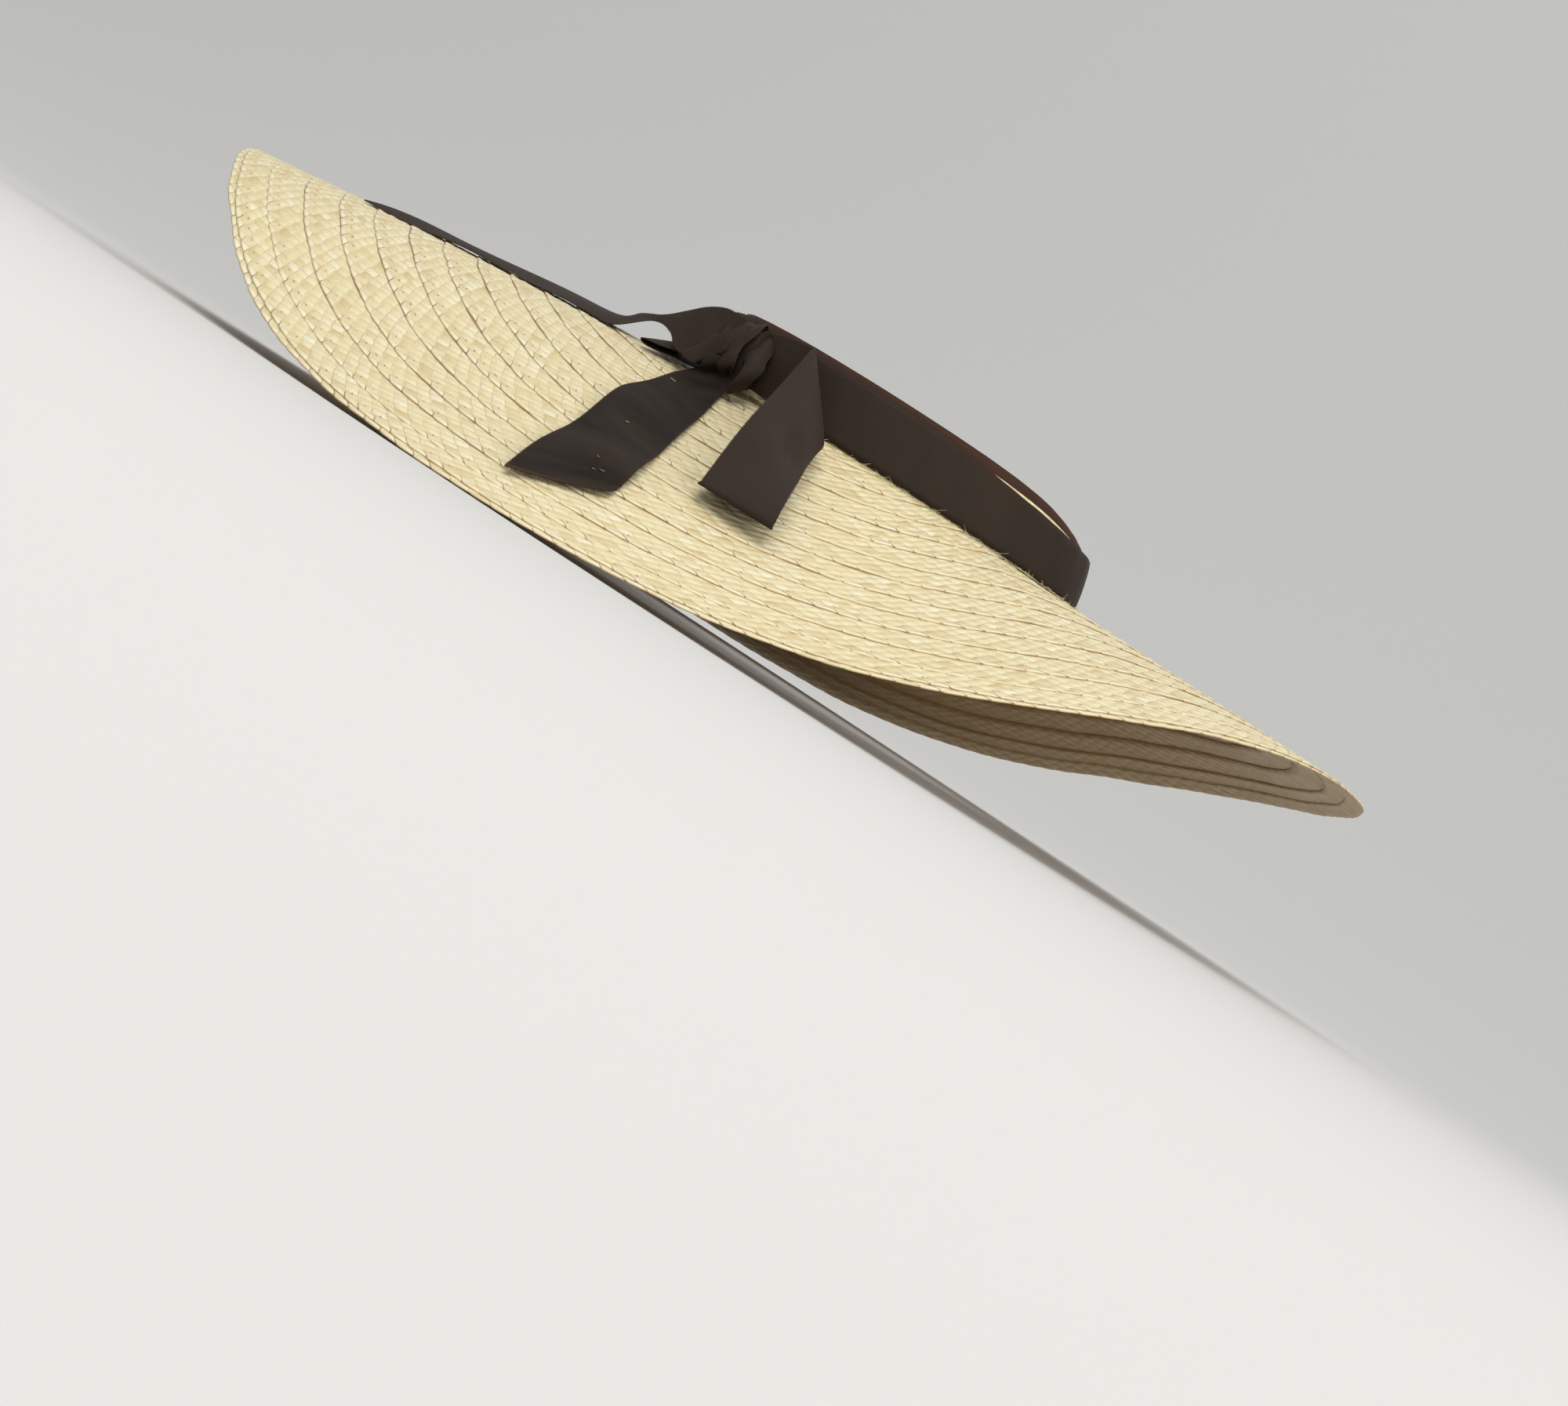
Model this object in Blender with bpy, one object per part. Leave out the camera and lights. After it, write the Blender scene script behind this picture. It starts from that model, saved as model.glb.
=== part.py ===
"""Wide-brimmed straw tilt hat with an open crown, a ribbon band and a flat bow.

The hat stands as it lies on a table: on the two lowest stretches of its side
edges. -Y is the front of the hat, +X is the wearer's left, +Z is up.
Sizes are in millimetres and are turned into metres as the meshes are made.

Plan positions use an angle that is 0 at the front, 90 degrees at the wearer's
left and 180 degrees at the back.
"""

import math

import bmesh
import bpy
import numpy as np

MM = 0.001

# Head opening and brim, measured from the centre of the head opening.
OPENING_LENGTH = 178.6
OPENING_WIDTH = 149.8
BRIM_FRONT_REACH = 278.5
BRIM_BACK_REACH = 216.5
BRIM_WIDTH = 436.0
BRIM_WIDEST_SHIFT = -8.0
OUTLINE_POINTING = 0.022

# How far the brim's edge hangs below the foot of the crown, as a mean and waves.
EDGE_DROP_MEAN = 48.6
# (waves in one turn, cosine part, sine part)
EDGE_DROP_WAVES = (
    (1, 16.9, -2.6),
    (2, -33.7, 4.1),
    (3, -5.6, -2.4),
    (4, -2.4, 0.0),
    (5, -3.7, 0.0),
)
# Saucer curve from the crown to the edge: 0 is a straight cone, 1 a full parabola.
CURVE_MEAN = 0.047
CURVE_FRONT = 0.084
CURVE_ENDS = 0.141

# Sewn straw braid.
ROW_WIDTH = 14.0
ROW_COUNT = 13
ROW_EDGE_RISE = 0.35
ROW_BACK_DIP = 0.15
STEP_RUN = 0.5
BRAID_THICKNESS = 2.0
SQUEEZED_ROW_PITCH = 0.35

# Crown wall and its two ribbons.
WALL_THICKNESS = 2.2
WALL_HEIGHT = 24.4
WALL_LEAN_DEG = 7.0
# Heights above the seat at which the three rings have a section between foot and top.
RING_LEVELS = (9.0, 17.0)
RIBBON_THICKNESS = 0.9
OUTER_BAND_HEIGHT = 24.2
INNER_BAND_HEIGHT = 27.4
INNER_BAND_FOOT = 2.5
GAP = 0.3

# At the back the opening is blunter, and the crown leans in further and is lower.
BACK_FLATTENING = 4.5
BACK_EXTRA_LEAN = 5.0
BACK_POWER = 4
BACK_DIP = 0.27
BACK_DIP_POWER = 12

# Bow: where it sits on the band, and its ribbon.
BOW_ANGLE_DEG = 56.0
BOW_RIBBON_THICKNESS = 0.9
LEAST_LIFT = 0.75

# Knot: a leaning, wrinkled wrap. Sizes along the band, out from it and up.
KNOT_CENTRE = (-11.5, 8.6, 12.5)
KNOT_HALF = (9.5, 7.6, 16.0)
KNOT_LEAN_DEG = 33.0
KNOT_WRINKLES = 5
KNOT_WRINKLE_DEPTH = 0.07
KNOT_WRINKLE_TWIST = 2.0
KNOT_FULLNESS = 0.7
KNOT_CLEARANCE = 0.35

# Space kept free for the band where the knot lies on it: foot, top and depth.
BAND_ROOM_FOOT = -2.0
BAND_ROOM_TOP = 51.0
BAND_ROOM_DEPTH = 2.7

# Each row is one section across a ribbon: its two edges, in millimetres along the
# band (towards the back), out from the band, and above the brim's top.
# (a_along, a_out, a_lift, b_along, b_out, b_lift)
LEFT_LOOP_SECTIONS = (
    (-9, 7, 26, -6, 7, 5),
    (2, 6, 28, 12, 5, 3.5),
    (12, 7, 30, 36, 6.5, 6),
    (14, 9.5, 31, 42, 10, 8),
    (24, 25, 27, 55, 25, 14),
    (38, 48, 20, 70, 45.5, 16),
    (52, 69, 11.5, 84, 61, 14),
    (55.5, 74, 8.5, 87, 65.5, 11),
    (52, 69.5, 5.5, 83.5, 61, 7.5),
    (38, 42, 2.5, 62, 38, 2.5),
    (20, 20, 2.5, 36, 18, 2.5),
    (6, 9, 4, 18, 9, 4),
)
RIGHT_LOOP_SECTIONS = (
    (-17, 3, 12, -16, 8, 9),
    (-30, 0, 10, -31, 10, 7.5),
    (-42, -2, 7.5, -42, 14, 6),
    (-50, -6, 6, -52, 14, 5.5),
    (-52, -7, 4.2, -54, 13, 4),
    (-48, -5, 2.5, -50, 13, 2.5),
    (-36, -1, 3, -37, 11, 2.5),
    (-28, 2, 5, -28, 6.5, 4.5),
    (-16, 4, 8, -15, 7.5, 6.5),
)
LEFT_TAIL_SECTIONS = (
    (-16, 8, 10, -8, 10, 6),
    (-25, 15, 3.5, -4, 17, 2.5),
    (-20, 30, 3, 10, 38, 2),
    (-12, 55, 2.5, 26, 64, 2),
    (7, 92, 2.5, 41, 88, 2),
    (25, 130, 3, 49, 104, 2.5),
)
RIGHT_TAIL_SECTIONS = (
    (-20, 9, 27, -15, 13, 9),
    (-30, 9, 27, -29, 15.5, 6.5),
    (-39, 8.5, 24, -37, 15.5, 7.5),
    (-48, 7, 19, -45, 12.5, 10.5),
    (-58, 5, 14, -55, 6, 8.5),
    (-77, -6, 7, -70, 8, 3.5),
    (-98, -16, 3, -91, 11, 2),
    (-137, 2, 2, -128, 28, 2),
    (-175, 26, 2, -173, 55, 2),
)

# Newton steps that find the brim under a plan point: their number, the small change
# that gives the slopes, and the share of the way to the edge where they start.
NEWTON_STEPS = 12
NEWTON_NUDGE = 1e-4
NEWTON_START = 0.4

# Mesh fineness.
RING_SEGMENTS = 72
UNDERSIDE_RINGS = 8
STRIP_STEPS = 3
STRIP_COLUMNS = 3
KNOT_RINGS = 14
KNOT_SEGMENTS = 24

STRAW = ("straw", (0.80, 0.70, 0.47, 1.0), 0.62)
DARK_RIBBON = ("dark_ribbon", (0.035, 0.024, 0.019, 1.0), 0.70)
BROWN_RIBBON = ("brown_ribbon", (0.080, 0.034, 0.024, 1.0), 0.70)


def clear_scene():
    """Remove what a new file holds, so that only the hat is left."""
    for item in list(bpy.data.objects):
        bpy.data.objects.remove(item, do_unlink=True)


def make_material(finish):
    """Principled material from a (name, colour, roughness) row."""
    name, colour, roughness = finish
    material = bpy.data.materials.get(name)
    if material is None:
        material = bpy.data.materials.new(name)
        material.use_nodes = True
        shader = material.node_tree.nodes["Principled BSDF"]
        shader.inputs["Base Color"].default_value = colour
        shader.inputs["Roughness"].default_value = roughness
        shader.inputs["Metallic"].default_value = 0.0
    return material


def add_object(name, points, faces, finish):
    """Make one object from points in millimetres, with its faces turned outwards."""
    mesh = bpy.data.meshes.new(name)
    mesh.from_pydata((np.asarray(points) * MM).tolist(), [], faces)
    work = bmesh.new()
    work.from_mesh(mesh)
    bmesh.ops.recalc_face_normals(work, faces=work.faces)
    work.to_mesh(mesh)
    work.free()
    mesh.materials.append(make_material(finish))
    mesh.shade_smooth()
    mesh.set_sharp_from_angle(angle=math.radians(40))
    item = bpy.data.objects.new(name, mesh)
    bpy.context.collection.objects.link(item)
    return item


def backness(angle):
    """0 at the front of the hat and 1 at the back."""
    return (1 - np.cos(angle)) / 2


def opening_edge(angle, inset=0.0):
    """Oval of the head opening at the outer ribbon's foot, drawn in by inset."""
    inset = inset + BACK_FLATTENING * backness(angle) ** BACK_POWER
    return ((OPENING_WIDTH / 2 - inset) * np.sin(angle),
            -(OPENING_LENGTH / 2 - inset) * np.cos(angle))


def brim_edge(angle):
    """Plan outline of the brim: an ellipse shifted forward, with fuller ends than sides."""
    half_length = (BRIM_FRONT_REACH + BRIM_BACK_REACH) / 2
    centre = -(BRIM_FRONT_REACH - BRIM_BACK_REACH) / 2
    pointing = 1 - OUTLINE_POINTING * (1 - np.cos(4 * angle))
    x = BRIM_WIDTH / 2 * np.sin(angle) * pointing
    y = centre - half_length * np.cos(angle) * pointing + BRIM_WIDEST_SHIFT * np.sin(angle) ** 2
    return x, y


def edge_drop(angle):
    """How far the edge hangs below the crown's foot: mean plus waves round the hat."""
    drop = np.full_like(angle, EDGE_DROP_MEAN)
    for waves, cosine, sine in EDGE_DROP_WAVES:
        drop = drop + cosine * np.cos(waves * angle) + sine * np.sin(waves * angle)
    return drop


def brim_point(share, angle):
    """Middle surface of the brim: share is 0 at the crown and 1 at the edge.

    Plan: straight between the opening and the edge at the same angle.
    Height: -drop * ((1 - q) * share + q * share^2), q being the saucer curve.
    """
    x0, y0 = opening_edge(angle)
    x1, y1 = brim_edge(angle)
    curve = CURVE_MEAN + CURVE_FRONT * np.cos(angle) + CURVE_ENDS * np.cos(2 * angle)
    height = -edge_drop(angle) * ((1 - curve) * share + curve * share ** 2)
    return np.stack([x0 + (x1 - x0) * share, y0 + (y1 - y0) * share, height], axis=-1)


def slant_length(angle):
    """Straight distance from the crown's foot to the edge at each angle."""
    return np.linalg.norm(brim_point(1.0, angle) - brim_point(0.0, angle), axis=-1)


def brim_height(x, y):
    """Height of the brim's middle surface over a plan point, by Newton steps.

    Inside the opening the flat height of the crown's foot is kept.
    """
    x = np.asarray(x, float)
    y = np.asarray(y, float)
    angle = np.arctan2(x, -y)
    share = np.full_like(angle, NEWTON_START)
    nudge = NEWTON_NUDGE
    for _ in range(NEWTON_STEPS):
        here = brim_point(share, angle)
        by_share = (brim_point(share + nudge, angle) - here) / nudge
        by_angle = (brim_point(share, angle + nudge) - here) / nudge
        miss_x = x - here[..., 0]
        miss_y = y - here[..., 1]
        area = by_share[..., 0] * by_angle[..., 1] - by_share[..., 1] * by_angle[..., 0]
        share = share + (miss_x * by_angle[..., 1] - miss_y * by_angle[..., 0]) / area
        angle = angle + (miss_y * by_share[..., 0] - miss_x * by_share[..., 1]) / area
        share = np.clip(share, -0.3, 1.3)
    return brim_point(np.clip(share, 0.0, None), angle)[..., 2]


def grid_faces(rings, around, closed_rings):
    """Quads of a grid of rings whose points run round and join up."""
    faces = []
    last = rings if closed_rings else rings - 1
    for ring in range(last):
        after = (ring + 1) % rings
        for spot in range(around):
            beside = (spot + 1) % around
            faces.append((ring * around + spot, ring * around + beside,
                          after * around + beside, after * around + spot))
    return faces


def ring_angles():
    """Angles of the sections round the hat."""
    return np.linspace(0, 2 * math.pi, RING_SEGMENTS, endpoint=False)


def row_stations():
    """Distances in from the edge and heights of the braid's steps, outermost first."""
    stations = [(0.0, ROW_EDGE_RISE)]
    for row in range(1, ROW_COUNT + 1):
        join = row * ROW_WIDTH
        stations.append((join - STEP_RUN / 2, -ROW_BACK_DIP))
        stations.append((join + STEP_RUN / 2, ROW_EDGE_RISE))
    return stations


def make_brim():
    """Brim of concentric sewn rows, 2 mm thick, open in the middle."""
    angle = ring_angles()
    length = slant_length(angle)
    stations = row_stations()
    rings = []
    for index, (inward, rise) in enumerate(stations):
        limit = length - (len(stations) - index) * SQUEEZED_ROW_PITCH
        distance = np.minimum(inward, limit)
        fade = np.clip((length - inward) / ROW_WIDTH, 0, 1)
        ring = brim_point(1 - distance / length, angle)
        ring[:, 2] += BRAID_THICKNESS / 2 + rise * fade
        rings.append(ring)
    foot = brim_point(0.0, angle)
    foot[:, 2] += BRAID_THICKNESS / 2
    rings.append(foot)
    seat = foot.copy()
    hole_inset = RIBBON_THICKNESS + GAP + WALL_THICKNESS
    seat[:, 0], seat[:, 1] = opening_edge(angle, hole_inset)
    rings.append(seat)
    under_seat = seat.copy()
    under_seat[:, 2] -= BRAID_THICKNESS
    rings.append(under_seat)
    for step in range(UNDERSIDE_RINGS + 1):
        ring = brim_point(step / UNDERSIDE_RINGS, angle)
        ring[:, 2] -= BRAID_THICKNESS / 2
        rings.append(ring)
    points = np.concatenate(rings)
    return add_object("brim", points, grid_faces(len(rings), RING_SEGMENTS, True), STRAW)


def make_wall_ring(name, outer_inset, thickness, foot, top, finish):
    """Leaning oval ring round the head opening, between two heights above the seat.

    Inset at a height h: h * tan(lean), and at the back also an amount that grows with h^2.
    """
    angle = ring_angles()
    base = BRAID_THICKNESS / 2
    lean = math.tan(math.radians(WALL_LEAN_DEG))
    back = backness(angle)
    levels = (foot,) + RING_LEVELS + (top,)
    inner_inset = outer_inset + thickness
    corners = [(outer_inset, level) for level in levels]
    corners += [(inner_inset, level) for level in reversed(levels)]
    rings = []
    for inset, level in corners:
        height = level * (1 - BACK_DIP * back ** BACK_DIP_POWER)
        extra = BACK_EXTRA_LEAN * (height / INNER_BAND_HEIGHT) ** 2 * back ** BACK_POWER
        x, y = opening_edge(angle, inset + height * lean + extra)
        rings.append(np.stack([x, y, base + height], axis=-1))
    points = np.concatenate(rings)
    return add_object(name, points, grid_faces(len(rings), RING_SEGMENTS, True), finish)


def bow_axes():
    """Foot of the bow on the band, and its directions along the band and outwards."""
    angle = math.radians(BOW_ANGLE_DEG)
    x, y = opening_edge(angle)
    outwards = np.array([math.sin(angle) / OPENING_WIDTH, -math.cos(angle) / OPENING_LENGTH, 0])
    outwards /= np.linalg.norm(outwards)
    along = np.array([-outwards[1], outwards[0], 0.0])
    return np.array([x, y, 0.0]), along, outwards


def from_bow(local):
    """Turn (along, out, up) positions into hat positions."""
    foot, along, outwards = bow_axes()
    local = np.asarray(local, float)
    upwards = np.array([0.0, 0.0, 1.0])
    return foot + local[..., :1] * along + local[..., 1:2] * outwards + local[..., 2:3] * upwards


def smooth_rows(rows, steps):
    """Catmull-Rom curve through the rows, with the given steps between two of them."""
    rows = np.asarray(rows, float)
    padded = np.concatenate([rows[:1] * 2 - rows[1:2], rows, rows[-1:] * 2 - rows[-2:-1]])
    result = []
    for index in range(len(rows) - 1):
        before, start, end, after = padded[index:index + 4]
        for step in range(steps):
            t = step / steps
            result.append(0.5 * (2 * start + (end - before) * t
                                 + (2 * before - 5 * start + 4 * end - after) * t ** 2
                                 + (3 * start - before - 3 * end + after) * t ** 3))
    result.append(rows[-1])
    return np.array(result)


def brim_top(points):
    """Height of the brim's top, without its steps, under each point."""
    return brim_height(points[..., 0], points[..., 1]) + BRAID_THICKNESS / 2


def strip_surface(sections):
    """Middle surface of a ribbon, from its table of sections above the brim."""
    edges = smooth_rows(sections, STRIP_STEPS)
    share = np.linspace(0, 1, STRIP_COLUMNS + 1)[None, :, None]
    middle = edges[:, None, :3] * (1 - share) + edges[:, None, 3:] * share
    surface = from_bow(middle)
    lift = np.maximum(middle[..., 2], LEAST_LIFT + BOW_RIBBON_THICKNESS / 2)
    surface[..., 2] = brim_top(surface) + lift
    return surface


def grid_normals(surface):
    """Unit normals of a grid of points, from the differences along both directions."""
    down = np.gradient(surface, axis=0)
    across = np.gradient(surface, axis=1)
    normal = np.cross(down, across)
    return normal / np.linalg.norm(normal, axis=-1, keepdims=True)


def make_strip(name, sections):
    """Ribbon strip: its middle surface thickened to both sides and closed at the edges."""
    surface = strip_surface(sections)
    offset = grid_normals(surface) * BOW_RIBBON_THICKNESS / 2
    rows, columns = surface.shape[:2]
    points = np.concatenate([(surface + offset).reshape(-1, 3), (surface - offset).reshape(-1, 3)])
    back = rows * columns
    faces = []
    for row in range(rows - 1):
        for column in range(columns - 1):
            a = row * columns + column
            b = a + columns
            faces.append((a, b, b + 1, a + 1))
            faces.append((back + a + 1, back + b + 1, back + b, back + a))
    border = list(range(columns))
    border += [row * columns + columns - 1 for row in range(1, rows)]
    border += [(rows - 1) * columns + column for column in range(columns - 2, -1, -1)]
    border += [row * columns for row in range(rows - 2, 0, -1)]
    for here, after in zip(border, border[1:] + border[:1]):
        faces.append((here, after, back + after, back + here))
    return add_object(name, points, faces, DARK_RIBBON)


def knot_points(grow):
    """Points of the knot: an egg with wrinkles running round it, grown by grow."""
    tilt = math.radians(KNOT_LEAN_DEG)
    half = np.array(KNOT_HALF) + grow
    points = []
    for ring in range(1, KNOT_RINGS):
        rise = math.pi * ring / KNOT_RINGS
        for spot in range(KNOT_SEGMENTS):
            turn = 2 * math.pi * spot / KNOT_SEGMENTS
            phase = KNOT_WRINKLES * rise + KNOT_WRINKLE_TWIST * math.sin(turn)
            girth = math.sin(rise) ** KNOT_FULLNESS * (1 + KNOT_WRINKLE_DEPTH * math.cos(phase))
            points.append((half[0] * girth * math.cos(turn),
                           half[1] * girth * math.sin(turn),
                           half[2] * math.cos(rise)))
    points += [(0, 0, half[2]), (0, 0, -half[2])]
    points = np.array(points)
    along = points[:, 0] * math.cos(tilt) - points[:, 2] * math.sin(tilt)
    up = points[:, 0] * math.sin(tilt) + points[:, 2] * math.cos(tilt)
    return np.stack([along, points[:, 1], up], axis=-1) + np.array(KNOT_CENTRE)


def make_knot(name, grow, seat_margin):
    """Closed knot solid, flattened where it sits on the brim."""
    points = from_bow(knot_points(grow))
    points[:, 2] = np.maximum(points[:, 2], brim_top(points) + seat_margin)
    faces = grid_faces(KNOT_RINGS - 1, KNOT_SEGMENTS, False)
    top = (KNOT_RINGS - 1) * KNOT_SEGMENTS
    last = (KNOT_RINGS - 2) * KNOT_SEGMENTS
    for spot in range(KNOT_SEGMENTS):
        beside = (spot + 1) % KNOT_SEGMENTS
        faces.append((top, spot, beside))
        faces.append((top + 1, last + beside, last + spot))
    return add_object(name, points, faces, DARK_RIBBON)


def cut_away(item, cutter):
    """Take the cutter's space out of a solid, and keep the cutter out of the model."""
    cutter.hide_render = True
    cutter.display_type = "WIRE"
    boolean = item.modifiers.new("clearance", "BOOLEAN")
    boolean.operation = "DIFFERENCE"
    boolean.solver = "EXACT"
    boolean.object = cutter


def rest_on_ground(items):
    """Move all meshes so that the hat's box is centred on the origin and stands on it."""
    corners = np.concatenate([[tuple(vertex.co) for vertex in item.data.vertices] for item in items
                              if not item.hide_render])
    low = corners.min(axis=0)
    high = corners.max(axis=0)
    shift = -np.array([(low[0] + high[0]) / 2, (low[1] + high[1]) / 2, low[2]])
    for item in items:
        item.location = shift
    print("crown foot centre lies at", np.round(shift / MM, 3), "mm")


def build_hat():
    """Build every piece, then set the hat down."""
    clear_scene()
    brim = make_brim()
    wall_inset = RIBBON_THICKNESS + GAP
    wall = make_wall_ring("crown_wall", wall_inset, WALL_THICKNESS, GAP, WALL_HEIGHT, STRAW)
    band = make_wall_ring("hat_band", 0.0, RIBBON_THICKNESS, GAP, OUTER_BAND_HEIGHT, DARK_RIBBON)
    inner = make_wall_ring("inner_ribbon", wall_inset + WALL_THICKNESS + GAP, RIBBON_THICKNESS,
                           INNER_BAND_FOOT, INNER_BAND_HEIGHT, BROWN_RIBBON)
    knot = make_knot("bow_knot", 0.0, GAP)
    knot_room = make_knot("knot_room", KNOT_CLEARANCE, 0.0)
    band_room = make_wall_ring("band_room", -GAP, BAND_ROOM_DEPTH, BAND_ROOM_FOOT, BAND_ROOM_TOP,
                               DARK_RIBBON)
    cut_away(knot, band_room)
    strips = [make_strip("bow_loop_left", LEFT_LOOP_SECTIONS),
              make_strip("bow_loop_right", RIGHT_LOOP_SECTIONS),
              make_strip("bow_tail_left", LEFT_TAIL_SECTIONS),
              make_strip("bow_tail_right", RIGHT_TAIL_SECTIONS)]
    for strip in strips:
        cut_away(strip, knot_room)
    rest_on_ground([brim, wall, band, inner, knot, knot_room, band_room] + strips)


build_hat()
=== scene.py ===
# %% [markdown]
# # A straw tilt hat with a ribbon bow
# The hat is a shallow saucer of flat straw braid, sewn in rings. Its crown is open: a low
# straw wall carries a dark ribbon outside and a brown ribbon inside, and a flat bow sits
# at the front left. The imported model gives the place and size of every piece.
# It is loaded first, and each finer surface below is laid over it.

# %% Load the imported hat
import math

import bpy
import numpy as np
from mathutils import Matrix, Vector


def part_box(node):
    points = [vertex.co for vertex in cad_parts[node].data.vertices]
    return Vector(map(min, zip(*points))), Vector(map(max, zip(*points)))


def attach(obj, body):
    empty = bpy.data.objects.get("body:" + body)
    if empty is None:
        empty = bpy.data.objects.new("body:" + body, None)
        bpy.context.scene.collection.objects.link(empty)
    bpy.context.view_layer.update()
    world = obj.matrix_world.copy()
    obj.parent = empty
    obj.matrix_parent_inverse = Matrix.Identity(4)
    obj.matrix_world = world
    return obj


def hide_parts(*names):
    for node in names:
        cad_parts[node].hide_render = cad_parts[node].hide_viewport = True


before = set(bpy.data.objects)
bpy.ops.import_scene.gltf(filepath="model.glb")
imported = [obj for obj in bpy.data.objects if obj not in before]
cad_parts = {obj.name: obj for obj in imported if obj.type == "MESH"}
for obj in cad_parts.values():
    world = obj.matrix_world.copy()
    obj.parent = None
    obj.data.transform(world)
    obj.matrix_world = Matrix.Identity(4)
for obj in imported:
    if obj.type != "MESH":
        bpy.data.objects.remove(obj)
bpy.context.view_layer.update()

MM = 0.001
# Millimetres from the crown's centre forward to the band, and from the crown's foot up to
# the band's rim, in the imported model.
FRONT_REACH, BAND_RIM = 89.263, 25.2
band_low, band_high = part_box("hat_band")
CROWN_FOOT = np.array([(band_low.x + band_high.x) / 2, band_low.y + FRONT_REACH * MM,
                       band_high.z - BAND_RIM * MM])
print("crown foot centre, in metres:", np.round(CROWN_FOOT, 5))

# %% [markdown]
# ## Camera
# The photograph looks at the hat from its left side, level with the brim, and the hat is
# tilted there. Here the hat lies level, so the tilt goes into the camera: it keeps the
# same view of the hat and leans sideways. Three unit vectors give its turn, which is
# easier to check than three angles.

# %% Camera
CAMERA_PLACE = (1.38097, 0.19055, 0.02109)
CAMERA_RIGHT = (-0.09986, 0.83289, 0.54436)
CAMERA_UP = (0.04282, -0.54299, 0.83864)
CAMERA_BACK = (0.99408, 0.10705, 0.01856)
LENS_MM, SENSOR_MM = 83.32, 36.0
NEAREST_SEEN = 0.01


def add_object(name, data):
    """A new object with this data, linked into the scene."""
    made = bpy.data.objects.new(name, data)
    bpy.context.scene.collection.objects.link(made)
    return made


def turn_and_place(right, up, back, place):
    """Matrix whose columns are three unit vectors and a place."""
    matrix = np.eye(4)
    matrix[:3] = np.stack([right, up, back, place], axis=1)
    return Matrix(matrix.tolist())


lens = bpy.data.cameras.new("camera")
lens.lens = LENS_MM
lens.sensor_width = SENSOR_MM
lens.clip_start = NEAREST_SEEN
camera = add_object("camera", lens)
camera.matrix_world = turn_and_place(CAMERA_RIGHT, CAMERA_UP, CAMERA_BACK, CAMERA_PLACE)
bpy.context.scene.camera = camera
bpy.context.scene.view_settings.view_transform = "Standard"
print("camera is", round(CAMERA_PLACE[2] / MM), "mm above the floor")

# %% [markdown]
# ## Meshes from grids
# Braid, ribbons and rings are all closed sleeves: a small outline carried along a path.
# They could be planes with Solidify, but a sleeve gives each face its own place in the
# pattern, and both sides can have their own detail. The helper takes the outlines as one
# array, joins them with quads, closes the ends and turns the faces outwards.

# %% Sleeve helper
def unit_vectors(vectors):
    """Each vector divided by its own length."""
    return vectors / np.linalg.norm(vectors, axis=-1, keepdims=True)


def run_along(line):
    """How far along a line each of its points lies: the running sum of its steps."""
    return np.concatenate([[0], np.cumsum(np.linalg.norm(np.diff(line, axis=0), axis=1))])


def sleeve(name, outlines, pattern, side=None, ring=False):
    """Closed body from outlines of shape (stations, points round, 3), in hat millimetres.

    pattern holds the two pattern values of each point, and side one more value. A ring
    joins its last station to its first, and its pattern has one station more. The sign of
    the volume, a sum of corner . (corner x corner), tells whether faces must turn round.
    """
    outlines = np.asarray(outlines, float)
    count, around = outlines.shape[:2]
    spans = count if ring else count - 1
    station, spot = np.meshgrid(np.arange(spans), np.arange(around), indexing="ij")
    after, beside = (station + 1) % count, (spot + 1) % around
    quads = np.stack([station * around + spot, after * around + spot,
                      after * around + beside, station * around + beside], axis=-1).reshape(-1, 4)
    points = CROWN_FOOT + outlines.reshape(-1, 3) * MM
    corners = points[quads] - points.mean(axis=0)
    volume = (corners[:, 0] * np.cross(corners[:, 1] - corners[:, 3], corners[:, 2])).sum()
    corner_station = np.stack([station, station + 1, station + 1, station], axis=-1)
    corner_spot = np.stack([spot, spot, beside, beside], axis=-1)
    uv = pattern[corner_station % len(pattern), corner_spot].reshape(-1, 4, 2)
    if volume < 0:
        quads, uv = quads[:, ::-1], uv[:, ::-1]
    caps = np.arange(0 if ring else 2)[:, None] * (count - 1) * around + np.arange(around)
    if not ring:
        turned = int(volume < 0)
        caps[turned] = caps[turned, ::-1].copy()
    mesh = bpy.data.meshes.new(name)
    mesh.from_pydata(points, [], quads.tolist() + caps.tolist())
    cap_uv = pattern[caps.ravel() // around, caps.ravel() % around]
    layer = mesh.uv_layers.new(name="pattern")
    flat = np.concatenate([uv.reshape(-1, 2), cap_uv])
    layer.data.foreach_set("uv", flat.astype(np.float32).ravel())
    if side is not None:
        extra = mesh.attributes.new("side", "FLOAT", "POINT")
        extra.data.foreach_set("value", np.asarray(side, np.float32).ravel())
    mesh.shade_smooth()
    return add_object(name, mesh)


def dress(piece, material, slot, *nodes):
    """Give a piece its material, let it ride, and let it stand for CAD nodes. slot is not used."""
    piece.data.materials.append(material)
    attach(piece, "root")
    if nodes:
        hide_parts(*nodes)
    return piece


# %% [markdown]
# ## Materials as sums
# A woven or plaited finish is a sum of many small rules, and a long node tree is hard to
# read as code. A small class stands for one number that travels through the tree, so that
# a rule reads as arithmetic and each sign adds one Math node.

# %% Numbers in a node tree
MIX_FIRST, MIX_SECOND, MIX_RESULT = 6, 7, 2


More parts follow.
